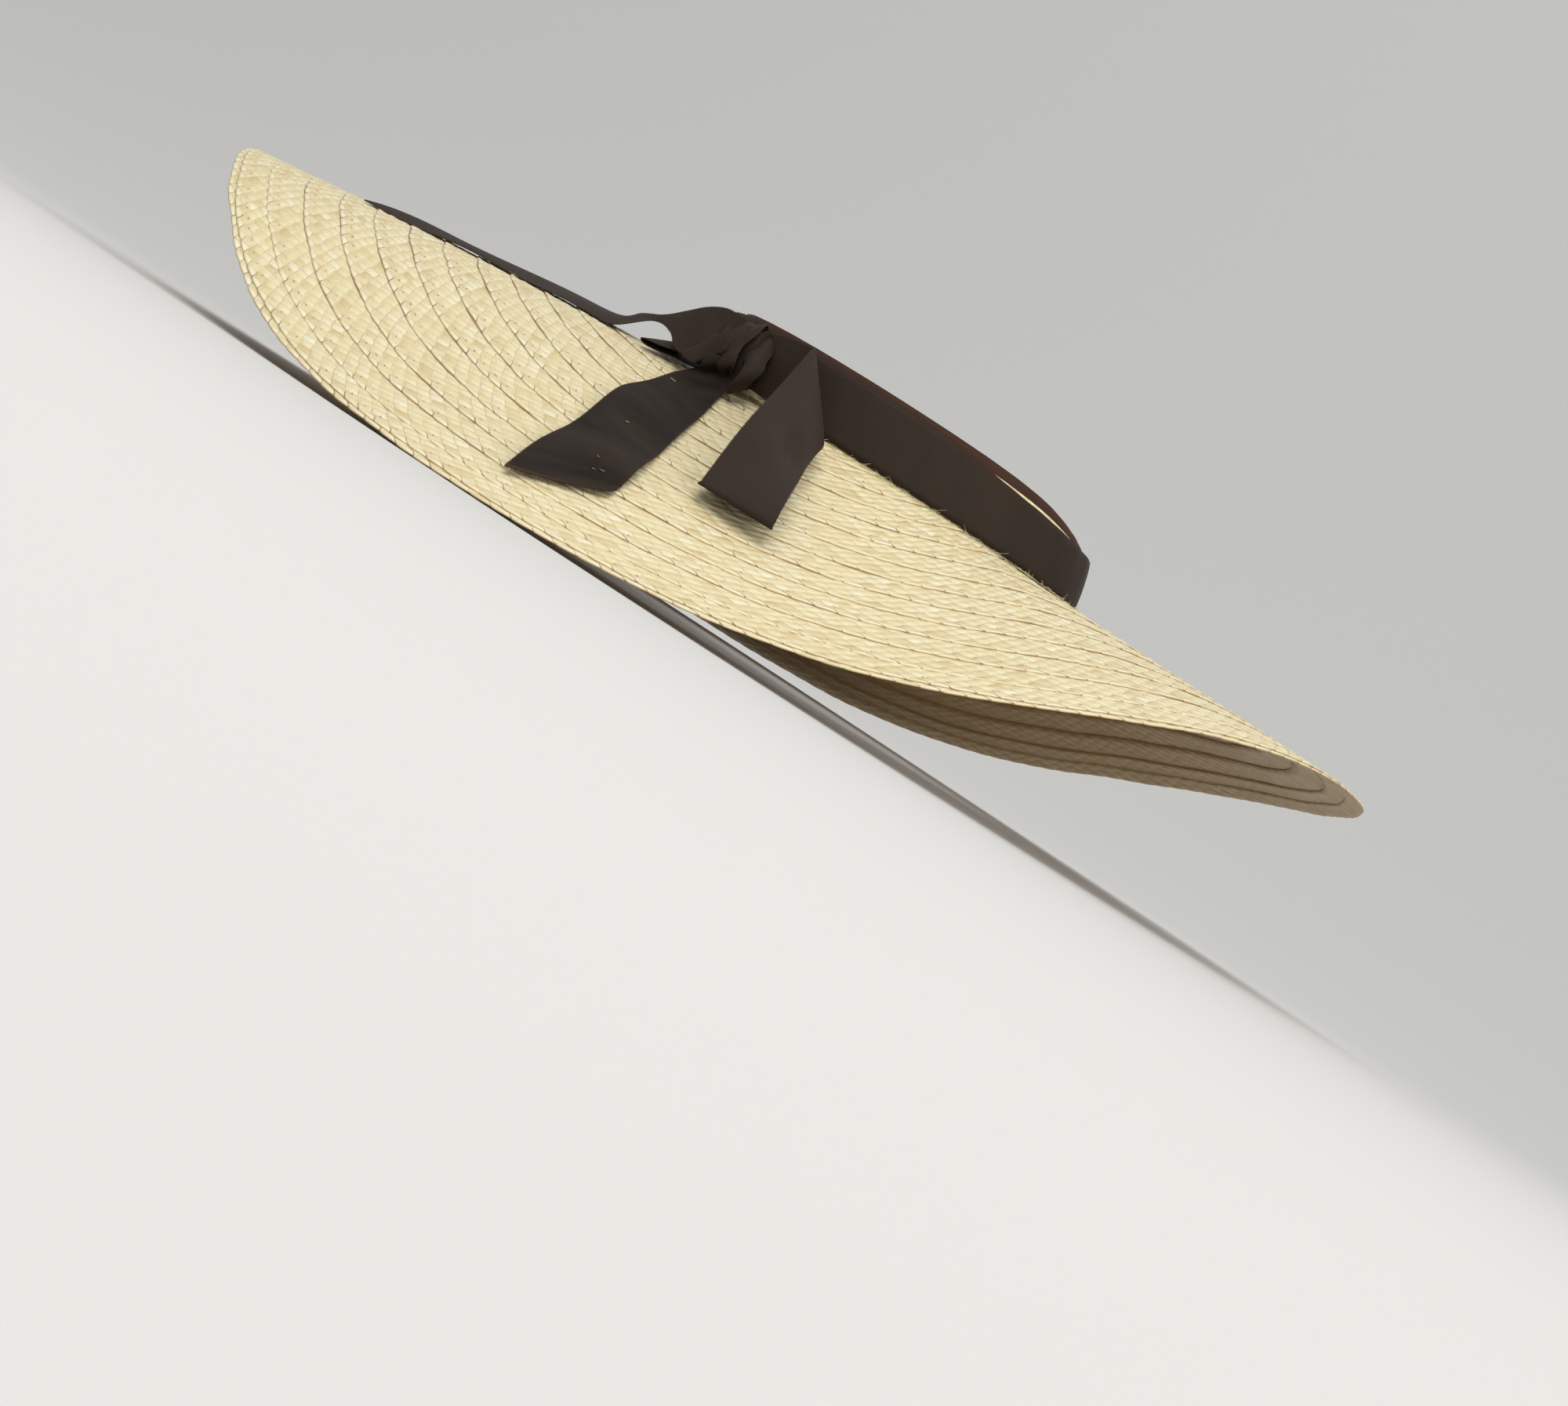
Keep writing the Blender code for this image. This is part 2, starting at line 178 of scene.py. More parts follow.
def feed(tree, socket, value):
    """Link a wire or a socket to a node's socket, or set a plain value on it."""
    if isinstance(value, Wire):
        value = value.socket
    if isinstance(value, bpy.types.NodeSocket):
        tree.links.new(value, socket)
    else:
        socket.default_value = value


class Wire:
    """A number in a material's node tree. +, - and * each add one Math node."""

    def __init__(self, tree, socket):
        self.tree = tree
        self.socket = socket

    def do(self, operation, *others):
        node = self.tree.nodes.new("ShaderNodeMath")
        node.operation = operation
        for spot, value in enumerate((self,) + others):
            feed(self.tree, node.inputs[spot], value)
        return Wire(self.tree, node.outputs[0])

    def __add__(self, other):
        return self.do("ADD", other)

    def __sub__(self, other):
        return self.do("SUBTRACT", other)

    def __mul__(self, other):
        return self.do("MULTIPLY", other)

    def rest(self):
        """One minus this number."""
        return self.do("MULTIPLY_ADD", -1.0, 1.0)

    def smooth(self, low, high):
        """0 below low and 1 above high, with a smooth rise between them."""
        node = self.tree.nodes.new("ShaderNodeMapRange")
        node.interpolation_type = "SMOOTHSTEP"
        self.tree.links.new(self.socket, node.inputs["Value"])
        node.inputs["From Min"].default_value = low
        node.inputs["From Max"].default_value = high
        return Wire(self.tree, node.outputs["Result"])

    def fall(self, low, high):
        """1 below low and 0 above high, with a smooth fall between them."""
        return self.smooth(low, high).rest()


def join(tree, x, y, z=0.0):
    """Three numbers as one vector socket."""
    node = tree.nodes.new("ShaderNodeCombineXYZ")
    for spot, value in enumerate((x, y, z)):
        feed(tree, node.inputs[spot], value)
    return node.outputs[0]


def chance(tree, *numbers):
    """The same random number between 0 and 1 everywhere that the numbers are the same."""
    node = tree.nodes.new("ShaderNodeTexWhiteNoise")
    node.noise_dimensions = "3D"
    feed(tree, node.inputs["Vector"], join(tree, *numbers))
    return Wire(tree, node.outputs["Value"])


def cloud(tree, vector, scale, detail=2.0):
    """Soft noise between 0 and 1, mostly near a half."""
    node = tree.nodes.new("ShaderNodeTexNoise")
    node.inputs["Scale"].default_value = scale
    node.inputs["Detail"].default_value = detail
    feed(tree, node.inputs["Vector"], join(tree, *vector) if isinstance(vector, tuple) else vector)
    return Wire(tree, node.outputs["Fac"])


def blend(tree, share, first, second):
    """Colour between two others, by a share; each is a colour or a socket."""
    node = tree.nodes.new("ShaderNodeMix")
    node.data_type = "RGBA"
    feed(tree, node.inputs["Factor"], share)
    for spot, value in ((MIX_FIRST, first), (MIX_SECOND, second)):
        feed(tree, node.inputs[spot], (*value, 1.0) if isinstance(value, tuple) else value)
    return node.outputs[MIX_RESULT]


def bare_material(name, roughness, specular=0.5):
    """A material, its node tree and its shader."""
    material = bpy.data.materials.new(name)
    material.use_nodes = True
    shader = material.node_tree.nodes["Principled BSDF"]
    shader.inputs["Roughness"].default_value = roughness
    shader.inputs["Specular IOR Level"].default_value = specular
    return material, material.node_tree, shader


def new_material(name, roughness, sheen=0.0, specular=0.5):
    """A material with its tree, its shader and the two pattern values of its UV map."""
    material, tree, shader = bare_material(name, roughness, specular)
    shader.inputs["Sheen Weight"].default_value = sheen
    uv = tree.nodes.new("ShaderNodeUVMap")
    uv.uv_map = "pattern"
    split = tree.nodes.new("ShaderNodeSeparateXYZ")
    tree.links.new(uv.outputs[0], split.inputs[0])
    return material, tree, shader, Wire(tree, split.outputs[0]), Wire(tree, split.outputs[1])


def side_value(tree):
    """The side value of a sleeve: 1 under the braid, and at a ribbon's cut end."""
    node = tree.nodes.new("ShaderNodeAttribute")
    node.attribute_name = "side"
    return Wire(tree, node.outputs["Fac"])


def bump(tree, shader, height, distance, strength=1.0):
    """Let a number between 0 and 1 raise the surface by up to distance, in metres."""
    node = tree.nodes.new("ShaderNodeBump")
    node.inputs["Distance"].default_value = distance
    node.inputs["Strength"].default_value = strength
    tree.links.new(height.socket, node.inputs["Height"])
    tree.links.new(node.outputs[0], shader.inputs["Normal"])


# %% [markdown]
# ## Straw braid, the finish
# Straw braid is plaited flat from strands about 4.6 mm wide. They cross at a low angle, go
# over and under in turn, and fold back at the edges. Two counts describe the plait, one for
# each slant: it goes up by one from each strand of that slant to the next. Their whole
# parts name the strands, and whether their sum is odd or even says which strand is on top.
# Colour, fibres, stitches and the shade painted into the gaps are all read from these two
# counts, so they keep their place on every bent row.

# %% Straw material
PLAIT_ALONG = 8.5
PLAIT_ACROSS = 5.5
STRAND_WIDTH = 4.6
ROW_WIDTH = 14.0
ROW_OVERLAP = 3.0
STITCH_LINE = 3.7
# Where a rule sets in or ends, in millimetres from a row's outer edge.
LIP_HIGHLIGHT_END, SELVAGE_START, SELVAGE_END = (0.7, 1.2), (1.0, 1.8), (3.6, 4.6)
NOTCH_END, SEAM_SHADOW_START = (1.6, 3.0), (13.30, 13.85)
# The same from a strand's border, from its end, from a stitch and from a notch's middle.
BORDER_GAP, END_GAP = (0.05, 0.42), (0.02, 0.30)
STITCH_SIZE, NOTCH_SIZE = (0.22, 0.55), (-0.12, 0.06)
FIBRE_FINE, FIBRE_LONG, FIBRE_SCALE = 9.0, 0.55, 1.6
UNEVEN = 0.5
STRAW_RELIEF = 0.00055
CREAM = (0.83, 0.745, 0.475)
STRAW = (0.78, 0.67, 0.385)
TAN = (0.62, 0.47, 0.23)
PALE = (0.87, 0.82, 0.62)
BROWN = (0.30, 0.125, 0.038)
PAINTED_SHADE_TAN = (0.36, 0.20, 0.055)


def straw_material(name):
    """Plaited straw whose UV map counts the plait along the row and across it.

    The last number given to a noise keeps it apart from the others. Each blend lays one
    rule over the colour so far, and the factor after the rule is its strength.
    """
    material, tree, shader, along, across = new_material(name, 0.5, sheen=0.05)
    uneven = cloud(tree, (along * 1.3, across * 1.3, 12.0), 1.0) - 0.5
    skewed = cloud(tree, (along * 1.1, across * 1.1, 31.0), 1.0) - 0.5
    first, second = along + across + uneven * UNEVEN, along - across + skewed * UNEVEN
    first_name, second_name = first.do("FLOOR"), second.do("FLOOR")
    first_part, second_part = first - first_name, second - second_name
    odd = (first_name + second_name).do("FLOORED_MODULO", 2.0)
    even = odd.rest()
    over = first_part * even + second_part * odd
    run = second_part * even + first_part * odd
    first_tone = chance(tree, first_name, 0.5)
    second_tone = chance(tree, second_name, 7.5)
    cell_tone = chance(tree, first_name, second_name, 3.5)
    strand_tone = first_tone * even + second_tone * odd
    first_fibre = cloud(tree, (first * FIBRE_FINE, second * FIBRE_LONG), FIBRE_SCALE, 3.0)
    second_fibre = cloud(tree, (second * FIBRE_FINE, first * FIBRE_LONG, 5.0),
                         FIBRE_SCALE, 3.0)
    fibre = (first_fibre * even + second_fibre * odd).smooth(0.3, 0.7)
    drift = cloud(tree, (along * 0.16, across * 0.5, 9.0), 1.0)
    tone = strand_tone * 0.34 + cell_tone * 0.43 + drift * 0.35
    colour = blend(tree, tone.smooth(0.24, 0.78), STRAW, CREAM)
    colour = blend(tree, tone.smooth(0.18, 0.44) * -0.6 + 0.6, colour, TAN)
    colour = blend(tree, tone.smooth(0.72, 0.92) * 0.8, colour, PALE)
    colour = blend(tree, fibre * -0.20 + 0.20, colour, TAN)
    inward = across * PLAIT_ACROSS
    selvage = inward.smooth(*SELVAGE_START) * inward.fall(*SELVAGE_END)
    colour = blend(tree, selvage * (cell_tone * 0.30 + 0.08), colour, TAN)
    # Painted highlight: a pale band along the row's outer edge, where the folded strands catch the
    # light.
    colour = blend(tree, inward.fall(*LIP_HIGHLIGHT_END) * 0.35, colour, PALE)
    border = over.do("PINGPONG", 0.5) * STRAND_WIDTH
    end = run.do("PINGPONG", 0.5) * STRAND_WIDTH
    closed = border.smooth(*BORDER_GAP) * end.smooth(*END_GAP)
    # Painted shade: the gaps where strands part at their borders and ends are darkened.
    colour = blend(tree, closed.rest() * cell_tone.smooth(0.25, 1.0) * 0.5, colour, PAINTED_SHADE_TAN)
    pit = (first_part - 0.5).do("ABSOLUTE") * PLAIT_ALONG
    from_line = (inward - STITCH_LINE - (first_tone - 0.5) * 0.9).do("ABSOLUTE")
    reach = (pit * pit + from_line * from_line).do("SQRT")
    stitch = reach.fall(*STITCH_SIZE) * first_tone.smooth(0.25, 0.45)
    colour = blend(tree, stitch * 0.85, colour, BROWN)
    # Painted shade: the notches between the strands' folds near the row's outer edge are darkened,
    # and the bump sinks them.
    notch_width = (inward * -0.10 + 0.36) * first_tone.smooth(0.25, 1.0)
    from_notch = first.do("PINGPONG", 0.5) * STRAND_WIDTH - notch_width
    notch = from_notch.fall(*NOTCH_SIZE) * inward.fall(*NOTCH_END)
    colour = blend(tree, notch * 0.75, colour, BROWN)
    # Partly painted shadow: a brown seam line just outside the edge of the row that lies over this
    # one, darkened as the shade that edge casts.
    seam_and_shadow_line = (inward - (drift - 0.5) * 0.5).smooth(*SEAM_SHADOW_START)
    colour = blend(tree, seam_and_shadow_line * 0.70, colour, BROWN)
    # Painted shade: the braid's underside is tinted a darker brown.
    colour = blend(tree, side_value(tree) * 0.78, colour, PAINTED_SHADE_TAN)
    feed(tree, shader.inputs["Base Color"], colour)
    pillow = border.smooth(0.0, 1.8) * 0.6 + end.smooth(0.0, 2.2) * 0.4
    height = pillow * 0.8 + fibre * 0.10 - notch * 0.4 - stitch * 0.4
    bump(tree, shader, height, STRAW_RELIEF)
    feed(tree, shader.inputs["Roughness"], fibre * -0.16 + cell_tone * 0.14 + 0.46)
    return material


straw = straw_material("plaited_straw")
print("straw finish has", len(straw.node_tree.nodes), "nodes")

# %% [markdown]
# ## Shape of the brim
# The brim is a saucer whose side edges droop to the floor. Its outline is an ellipse moved
# forward, and its edge hangs by a mean and a few waves round the hat. Every row of braid
# lies on this one surface, so it is written as a function of how far in from the edge a
# point lies and of its angle, 0 being the front.

# %% Brim surface
OPENING_LENGTH, OPENING_WIDTH = 178.6, 149.8
BRIM_FRONT, BRIM_BACK, BRIM_WIDTH = 278.5, 216.5, 436.0
WIDEST_SHIFT, POINTING = -8.0, 0.022
EDGE_DROP = 48.6
DROP_WAVES = ((1, 16.9, -2.6), (2, -33.7, 4.1), (3, -5.6, -2.4), (4, -2.4, 0.0), (5, -3.7, 0.0))
SAUCER = (0.047, 0.084, 0.141)
BACK_FLATTENING, BACK_EXTRA_LEAN, BACK_DIP = 4.5, 5.0, 0.27
BRIM_TOP = 1.0      # millimetres from this surface up to the braid's top
NEWTON_STEPS, FIRST_SHARE = 12, 0.4


def backness(angle):
    """0 at the front of the hat and 1 at the back: (1 - cos) / 2."""
    return (1 - np.cos(angle)) / 2


def opening(angle, inset=0.0):
    """Oval of the head opening, drawn in by inset and made blunter at the back."""
    inset = inset + BACK_FLATTENING * backness(angle) ** 4
    half_width, half_length = OPENING_WIDTH / 2 - inset, OPENING_LENGTH / 2 - inset
    return half_width * np.sin(angle), -half_length * np.cos(angle)


def brim_at(share, angle):
    """Brim point for share 0 at the crown and 1 at the edge.

    Plan: straight from the opening to the outline. Height: -drop * ((1-q) s + q s^2), where
    the drop is a mean plus waves round the hat and q is how much it curves like a saucer.
    """
    share, angle = np.broadcast_arrays(np.asarray(share, float), np.asarray(angle, float))
    x0, y0 = opening(angle)
    pointing = 1 - POINTING * (1 - np.cos(4 * angle))
    x1 = BRIM_WIDTH / 2 * np.sin(angle) * pointing
    y1 = (-(BRIM_FRONT - BRIM_BACK) / 2 - (BRIM_FRONT + BRIM_BACK) / 2 * np.cos(angle) * pointing
          + WIDEST_SHIFT * np.sin(angle) ** 2)
    drop = EDGE_DROP + sum(c * np.cos(n * angle) + s * np.sin(n * angle) for n, c, s in DROP_WAVES)
    q = SAUCER[0] + SAUCER[1] * np.cos(angle) + SAUCER[2] * np.cos(2 * angle)
    height = -drop * ((1 - q) * share + q * share ** 2)
    return np.stack([x0 + (x1 - x0) * share, y0 + (y1 - y0) * share, height], axis=-1)


def slant(angle):
    """Straight length from the crown's foot to the edge."""
    return np.linalg.norm(brim_at(1.0, angle) - brim_at(0.0, angle), axis=-1)


def brim_in(inward, angle):
    """Brim point that lies so many millimetres in from the edge."""
    return brim_at(1 - inward / slant(angle), angle)


def brim_height(x, y):
    """Height of the brim under plan points: Newton steps for share and angle."""
    angle = np.arctan2(x, -y)
    share = np.full_like(angle, FIRST_SHARE)
    small = 1e-4
    for _ in range(NEWTON_STEPS):
        here = brim_at(share, angle)
        by_share = (brim_at(share + small, angle) - here) / small
        by_angle = (brim_at(share, angle + small) - here) / small
        miss_x, miss_y = x - here[..., 0], y - here[..., 1]
        area = by_share[..., 0] * by_angle[..., 1] - by_share[..., 1] * by_angle[..., 0]
        more_share = (miss_x * by_angle[..., 1] - miss_y * by_angle[..., 0]) / area
        more_angle = (miss_y * by_share[..., 0] - miss_x * by_share[..., 1]) / area
        share, angle = np.clip(share + more_share, -0.3, 1.3), angle + more_angle
    return brim_at(np.clip(share, 0.0, None), angle)[..., 2]


round_the_hat = np.linspace(-math.pi, math.pi, 3601)
brim_widths = slant(round_the_hat)
print("brim from", round(brim_widths.min()), "to", round(brim_widths.max()), "mm wide")

# %% [markdown]
# ## Rows of braid
# A real brim is one long braid sewn in a spiral, each turn with its outer edge over the
# turn before it. The brim could be one sheet with the rows painted on, but then the steps
# would not catch the light. So each turn is its own flat sleeve, 17 mm wide, of which 14 mm
# show. Toward the back the brim is narrower, so the inner turns are arcs that run out
# under the ribbon band, as they do on the real hat. The turn that starts 126 mm in meets
# the band at both sides, so it has two arcs. The outermost turn is doubled.

# %% Row helper
BRAID_THICK = 0.52
STATION_STEP = 1.0
TOP_STEPS = 20
UNDER_STEPS = 6
HIGH_EDGE = 0.28
PILLOW_HEIGHT = 0.24
SCALLOP, SCALLOP_REACH, SCALLOP_SKEW = 0.42, 1.3, 0.7
LIP_HEIGHT, LIP_PLACE, LIP_SPREAD = 0.07, 0.7, 0.6
GROOVE_DEPTH, GROOVE_SPREAD = 0.16, 0.8
SHOWN_WIDTH = 13.8
EDGE_ROUNDING = 0.28
COUNT_LINE = 4.0
PLAIT_SHIFT = 0.37
ARC_REACH, TUCK = 0.9, 2.2
SLACK = 0.09


def plait_relief(along, across):
    """Height from 0 to 1 of the plait: strands round across, and dip where they go under."""
    first, second = along + across, along - across
    odd = (np.floor(first) + np.floor(second)) % 2
    over = np.where(odd < 0.5, first % 1, second % 1)
    run = np.where(odd < 0.5, second % 1, first % 1)
    return (1 - np.abs(2 * over - 1) ** 3) * (0.4 + 0.6 * np.sin(np.pi * run))


def wobble(angle, seed):
    """Small uneven wave round the hat: five sines with random phases, about 0.4 high."""
    rng = np.random.default_rng(seed)
    waves = rng.integers(7, 40, 5)
    phases = rng.uniform(0, 2 * np.pi, 5)
    return sum(np.sin(n * angle + p) for n, p in zip(waves, phases)) * 0.16


def braid_row(number, start, width, rise_out, rise_in, flat_part=0.0, centre=0.0):
    """One turn of braid from start to start + width in from the edge.

    Its middle falls from rise_out at the outer edge to rise_in at the inner one. Its own
    edge bulges by a skewed parabola at each fold of the strands. The lip and the groove of
    the stitches are Gaussian bells along it. A turn that runs out under the band is an arc
    about the angle called centre, and is tucked a little under the wall.
    """
    angles = round_the_hat + centre
    lengths = slant(angles)
    inside = start < lengths + ARC_REACH
    ring = bool(inside.all())
    if not ring:
        middle = len(angles) // 2
        low = middle - np.argmin(inside[middle::-1]) + 1
        high = middle + np.argmin(inside[middle:])
        angles, lengths = angles[low:high], lengths[low:high]
    run = run_along(brim_in(np.minimum(start + COUNT_LINE, lengths), angles))
    count = int(round(run[-1] / STATION_STEP))
    repeats = round(run[-1] / PLAIT_ALONG)
    stops = np.arange(count + 1) / count
    angle = np.interp(stops * run[-1], run, angles)
    along = stops * repeats + PLAIT_SHIFT * number
    room = np.minimum(width, np.interp(angle, angles, lengths + TUCK) - start)
    share = np.concatenate([np.linspace(0, 1, TOP_STEPS + 1),
                            np.linspace(1, 0, UNDER_STEPS + 1), [0]])
    face = np.repeat([1.0, -1.0, 0.0], [TOP_STEPS + 1, UNDER_STEPS + 1, 1])
    is_top = np.maximum(face, 0)
    v = share[None, :] * room[:, None]
    v[:, -1] = -EDGE_ROUNDING
    fold = ((along[:, None] + v / PLAIT_ACROSS) % 1) ** SCALLOP_SKEW
    bulge = SCALLOP * 4 * fold * (1 - fold)
    shift = -bulge * np.exp(-np.abs(v) / SCALLOP_REACH) + wobble(angle, 100 + number)[:, None]
    inward = start + v + shift
    points = brim_in(inward, angle[:, None])
    fall = np.clip((v - flat_part) / (width - flat_part), 0, 1)
    middle_rise = rise_out + (rise_in - rise_out) * fall
    relief = plait_relief(along[:, None], v / PLAIT_ACROSS)
    shown = np.clip(SHOWN_WIDTH - v, 0, 1) * is_top
    lip = LIP_HEIGHT * np.exp(-((v - LIP_PLACE) / LIP_SPREAD) ** 2)
    groove = GROOVE_DEPTH * np.exp(-((v - STITCH_LINE) / GROOVE_SPREAD) ** 2)
    slack = SLACK * wobble(angle * 1.7, 300 + number)[:, None]
    points[..., 2] += (middle_rise + face * BRAID_THICK / 2
                       + shown * (relief * PILLOW_HEIGHT + lip - groove) + slack)
    pattern = np.stack([np.broadcast_to(along[:, None], v.shape), v / PLAIT_ACROSS], axis=-1)
    # Side is 1 on the underside, which the straw finish paints with shade.
    side = np.broadcast_to(1 - is_top, v.shape)
    kept = slice(-1 if ring else None)
    return sleeve(f"braid_row_{number:02d}", points[kept], pattern, side[kept], ring=ring)


# %% Sew the rows
TURNS, SPLIT_TURN = 14, 9
DOUBLED_WIDTH, DOUBLED_STEP, DOUBLED_FLAT = 8.0, 2.3, 5.0

rows = [braid_row(1, 0.0, DOUBLED_WIDTH, -HIGH_EDGE, -HIGH_EDGE)]
for turn in range(TURNS):
    outer = turn * ROW_WIDTH if turn else DOUBLED_STEP
    width = (turn + 1) * ROW_WIDTH + ROW_OVERLAP - outer
    rows.append(braid_row(turn + 2, outer, width, HIGH_EDGE, -HIGH_EDGE,
                          flat_part=0.0 if turn else DOUBLED_FLAT))
rows.append(braid_row(TURNS + 2, SPLIT_TURN * ROW_WIDTH, ROW_WIDTH + ROW_OVERLAP, HIGH_EDGE,
                      -HIGH_EDGE, centre=math.pi))
for row in rows:
    dress(row, straw, "straw", "brim")
print(len(rows), "turns of braid,", sum(len(row.data.polygons) for row in rows), "faces")

# %% [markdown]
# ## Crown wall and its two ribbons
# The wall is a turned-up strip of the same braid. Only its rim shows, between the ribbons.
# All three are leaning oval rings, so one function carries an outline of insets and
# heights round the opening; small waves keep the cloth from looking machined.

# %% Oval rings
WALL_LEAN = math.tan(math.radians(7.0))
RING_STATIONS = 480
FULL_HEIGHT = 27.4


def oval_ring(name, outline, top_shift=None, ripple=0.0, seed=1, unit=1.0, pattern_foot=0.0):
    """Ring of (inset, height, side) outline points round the opening, leaning inwards.

    top_shift(angle) is added to the height in proportion to how high a point lies. At the
    back the ring dips, and leans in by an amount that grows with the square of the height.
    The pattern counts millimetres round the ring and up it from pattern_foot, both divided
    by unit.
    """
    outline = np.asarray(outline, float)
    angle = np.linspace(-math.pi, math.pi, RING_STATIONS + 1)
    up = outline[None, :, 1] / outline[:, 1].max()
    lift = np.zeros_like(angle) if top_shift is None else top_shift(angle)
    height = outline[None, :, 1] + lift[:, None] * up
    back = backness(angle)[:, None]
    height = height * (1 - BACK_DIP * back ** 12)
    wave = wobble(angle, seed)[:, None] * ripple * up
    extra = BACK_EXTRA_LEAN * (height / FULL_HEIGHT) ** 2 * back ** 4
    inset = outline[None, :, 0] + height * WALL_LEAN + extra + wave
    x, y = opening(angle[:, None], inset)
    points = np.stack([x, y, height + BRIM_TOP], axis=-1)
    run = run_along(np.stack(opening(angle), axis=-1))
    pattern = np.stack([np.broadcast_to(run[:, None], height.shape), height - pattern_foot],
                       axis=-1) / unit
    side = np.broadcast_to(outline[None, :, 2], height.shape)
    return sleeve(name, points[:-1], pattern, side[:-1], ring=True)


WALL_OUTER, WALL_INNER = 1.25, 3.35
WALL_FOOT, WALL_SHOULDER, WALL_TOP = 0.3, 22.9, 23.9
WALL_RIM = [(1.6, 23.7, 0), (2.3, WALL_TOP, 0), (3.0, 23.7, 0)]
# The pattern starts this high up the wall, so that the rim stays clear of its seam line, which is
# painted partly as shadow.
PATTERN_FOOT = 15.0

outer_face = [(WALL_OUTER, h, 0) for h in np.linspace(WALL_FOOT, WALL_SHOULDER, 9)]
outer_face[0] = (WALL_OUTER + 0.1, WALL_FOOT, 0)
inner_face = [(WALL_INNER, h, 0) for h in np.linspace(WALL_SHOULDER, WALL_FOOT, 6)]
wall = oval_ring("crown_wall_braid", outer_face + WALL_RIM + inner_face, unit=PLAIT_ACROSS,
                 pattern_foot=PATTERN_FOOT)
dress(wall, straw, "straw", "crown_wall")
rim_height = CROWN_FOOT[2] / MM + WALL_TOP + BRIM_TOP
print("crown wall rim at", round(rim_height, 1), "mm above the floor")

# %% [markdown]
# ## Ribbon, the finish
# The ribbons are ribbed: a stout thread lies across every millimetre or so and is wrapped
# by a fine silky warp. The UV map holds millimetres along the ribbon and across it, so a
# sine wave along it gives the ribs at their true pitch. Sheen on the shader gives the soft
# bloom that such ribbon has at a low angle. The lower free end looks darker than the rest,
# as its ribs run away from the light, so it has a darker, patchier copy of the same finish:
# painted shade.

# %% Ribbon materials
RIB_PITCH = 1.1
RIB_RELIEF = 0.00010
BLOOM = (0.78, 0.62, 0.55, 1.0)
FLUFF = (0.30, 0.24, 0.20)
CUT_BROWN = (0.075, 0.030, 0.016)


def ribbon_material(name, dark, light, sheen, patchy=0.12):
    """Ribbed ribbon from its UV map in millimetres; side is 1 on a frayed or cut edge."""
    material, tree, shader, along, across = new_material(name, 0.66, sheen=sheen, specular=0.10)
    shader.inputs["Sheen Roughness"].default_value = 0.45
    shader.inputs["Sheen Tint"].default_value = BLOOM
    rib = (along * (2 * math.pi / RIB_PITCH)).do("SINE") * 0.5 + 0.5
    warp = cloud(tree, (along * 0.5, across * 6.0), 1.0, 3.0)
    patch = cloud(tree, (along * 0.075 + across * 0.035, across * 0.02, 4.0), 1.0, 2.0)
    fluff = cloud(tree, (along, across, 2.0), 1.7, 4.0)
    tone = rib * 0.12 + warp * 0.46 + patch.smooth(0.25, 0.75) * patchy + (0.21 - patchy / 2)
    colour = blend(tree, tone, dark, light)
    colour = blend(tree, fluff.smooth(0.62, 0.80) * 0.07, colour, FLUFF)
    colour = blend(tree, side_value(tree), colour, CUT_BROWN)
    feed(tree, shader.inputs["Base Color"], colour)
    bump(tree, shader, rib * 0.60 + warp * 0.40, RIB_RELIEF, 0.4)
    feed(tree, shader.inputs["Roughness"], warp * 0.12 + patch * 0.12 + 0.48)
    return material


dark_ribbon = ribbon_material("dark_ribbon", dark=(0.0100, 0.0067, 0.0049),
                              light=(0.050, 0.0345, 0.0248), sheen=0.03)
# Painted shade: a darker, patchier copy of the ribbon finish for the lower free end, on which less
# light falls.
shaded_end_ribbon = ribbon_material("dark_ribbon_end_shaded", dark=(0.0055, 0.0037, 0.0028),
                               light=(0.034, 0.0235, 0.0165), sheen=0.02, patchy=0.6)
brown_ribbon = ribbon_material("brown_ribbon", dark=(0.034, 0.016, 0.009),
                               light=(0.070, 0.034, 0.021), sheen=0.04)
for finish in (dark_ribbon, shaded_end_ribbon, brown_ribbon):
    print(finish.name, "has", len(finish.node_tree.nodes), "nodes")

# %% Band and inner ribbon
BAND_TOP = 26.0
BAND_THICK = 0.5
SLIP_ANGLE, SLIP_SPREAD, SLIP_DEPTH = 136.0, 27.0, 3.3


def band_top(angle):
    """The band's rim waves a little, and has slipped down at the left towards the back."""
    away = (np.degrees(angle) - SLIP_ANGLE) / SLIP_SPREAD
    return 0.15 * wobble(angle, 77) - SLIP_DEPTH * np.exp(-np.abs(away) ** 3)


def cloth_outline(inset, foot, top, thick, steps):
    """Outline of a flat ribbon: up its outer face, over its edge and down its inner face."""
    heights = np.linspace(foot, top, steps)
    outer = [(inset + 0.12 * (h in (heights[0], heights[-1])), h, float(h == heights[-1]) * 0.12)
             for h in heights]
    return outer + [(inset + thick, h, 0.0) for h in heights[::-1]]


band = oval_ring("hat_band_ribbon", cloth_outline(0.1, 0.45, BAND_TOP, BAND_THICK, 10), band_top,
                 ripple=0.5, seed=21)
inner = oval_ring("inner_ribbon_cloth", cloth_outline(3.75, 2.6, 27.8, BAND_THICK, 10),
                  ripple=0.5, seed=22)
dress(band, dark_ribbon, "dark_ribbon", "hat_band")
dress(inner, brown_ribbon, "brown_ribbon", "inner_ribbon")
oval_length = run_along(np.stack(opening(round_the_hat), axis=-1))[-1]
print("band", BAND_TOP, "mm high round an oval of", round(oval_length), "mm")

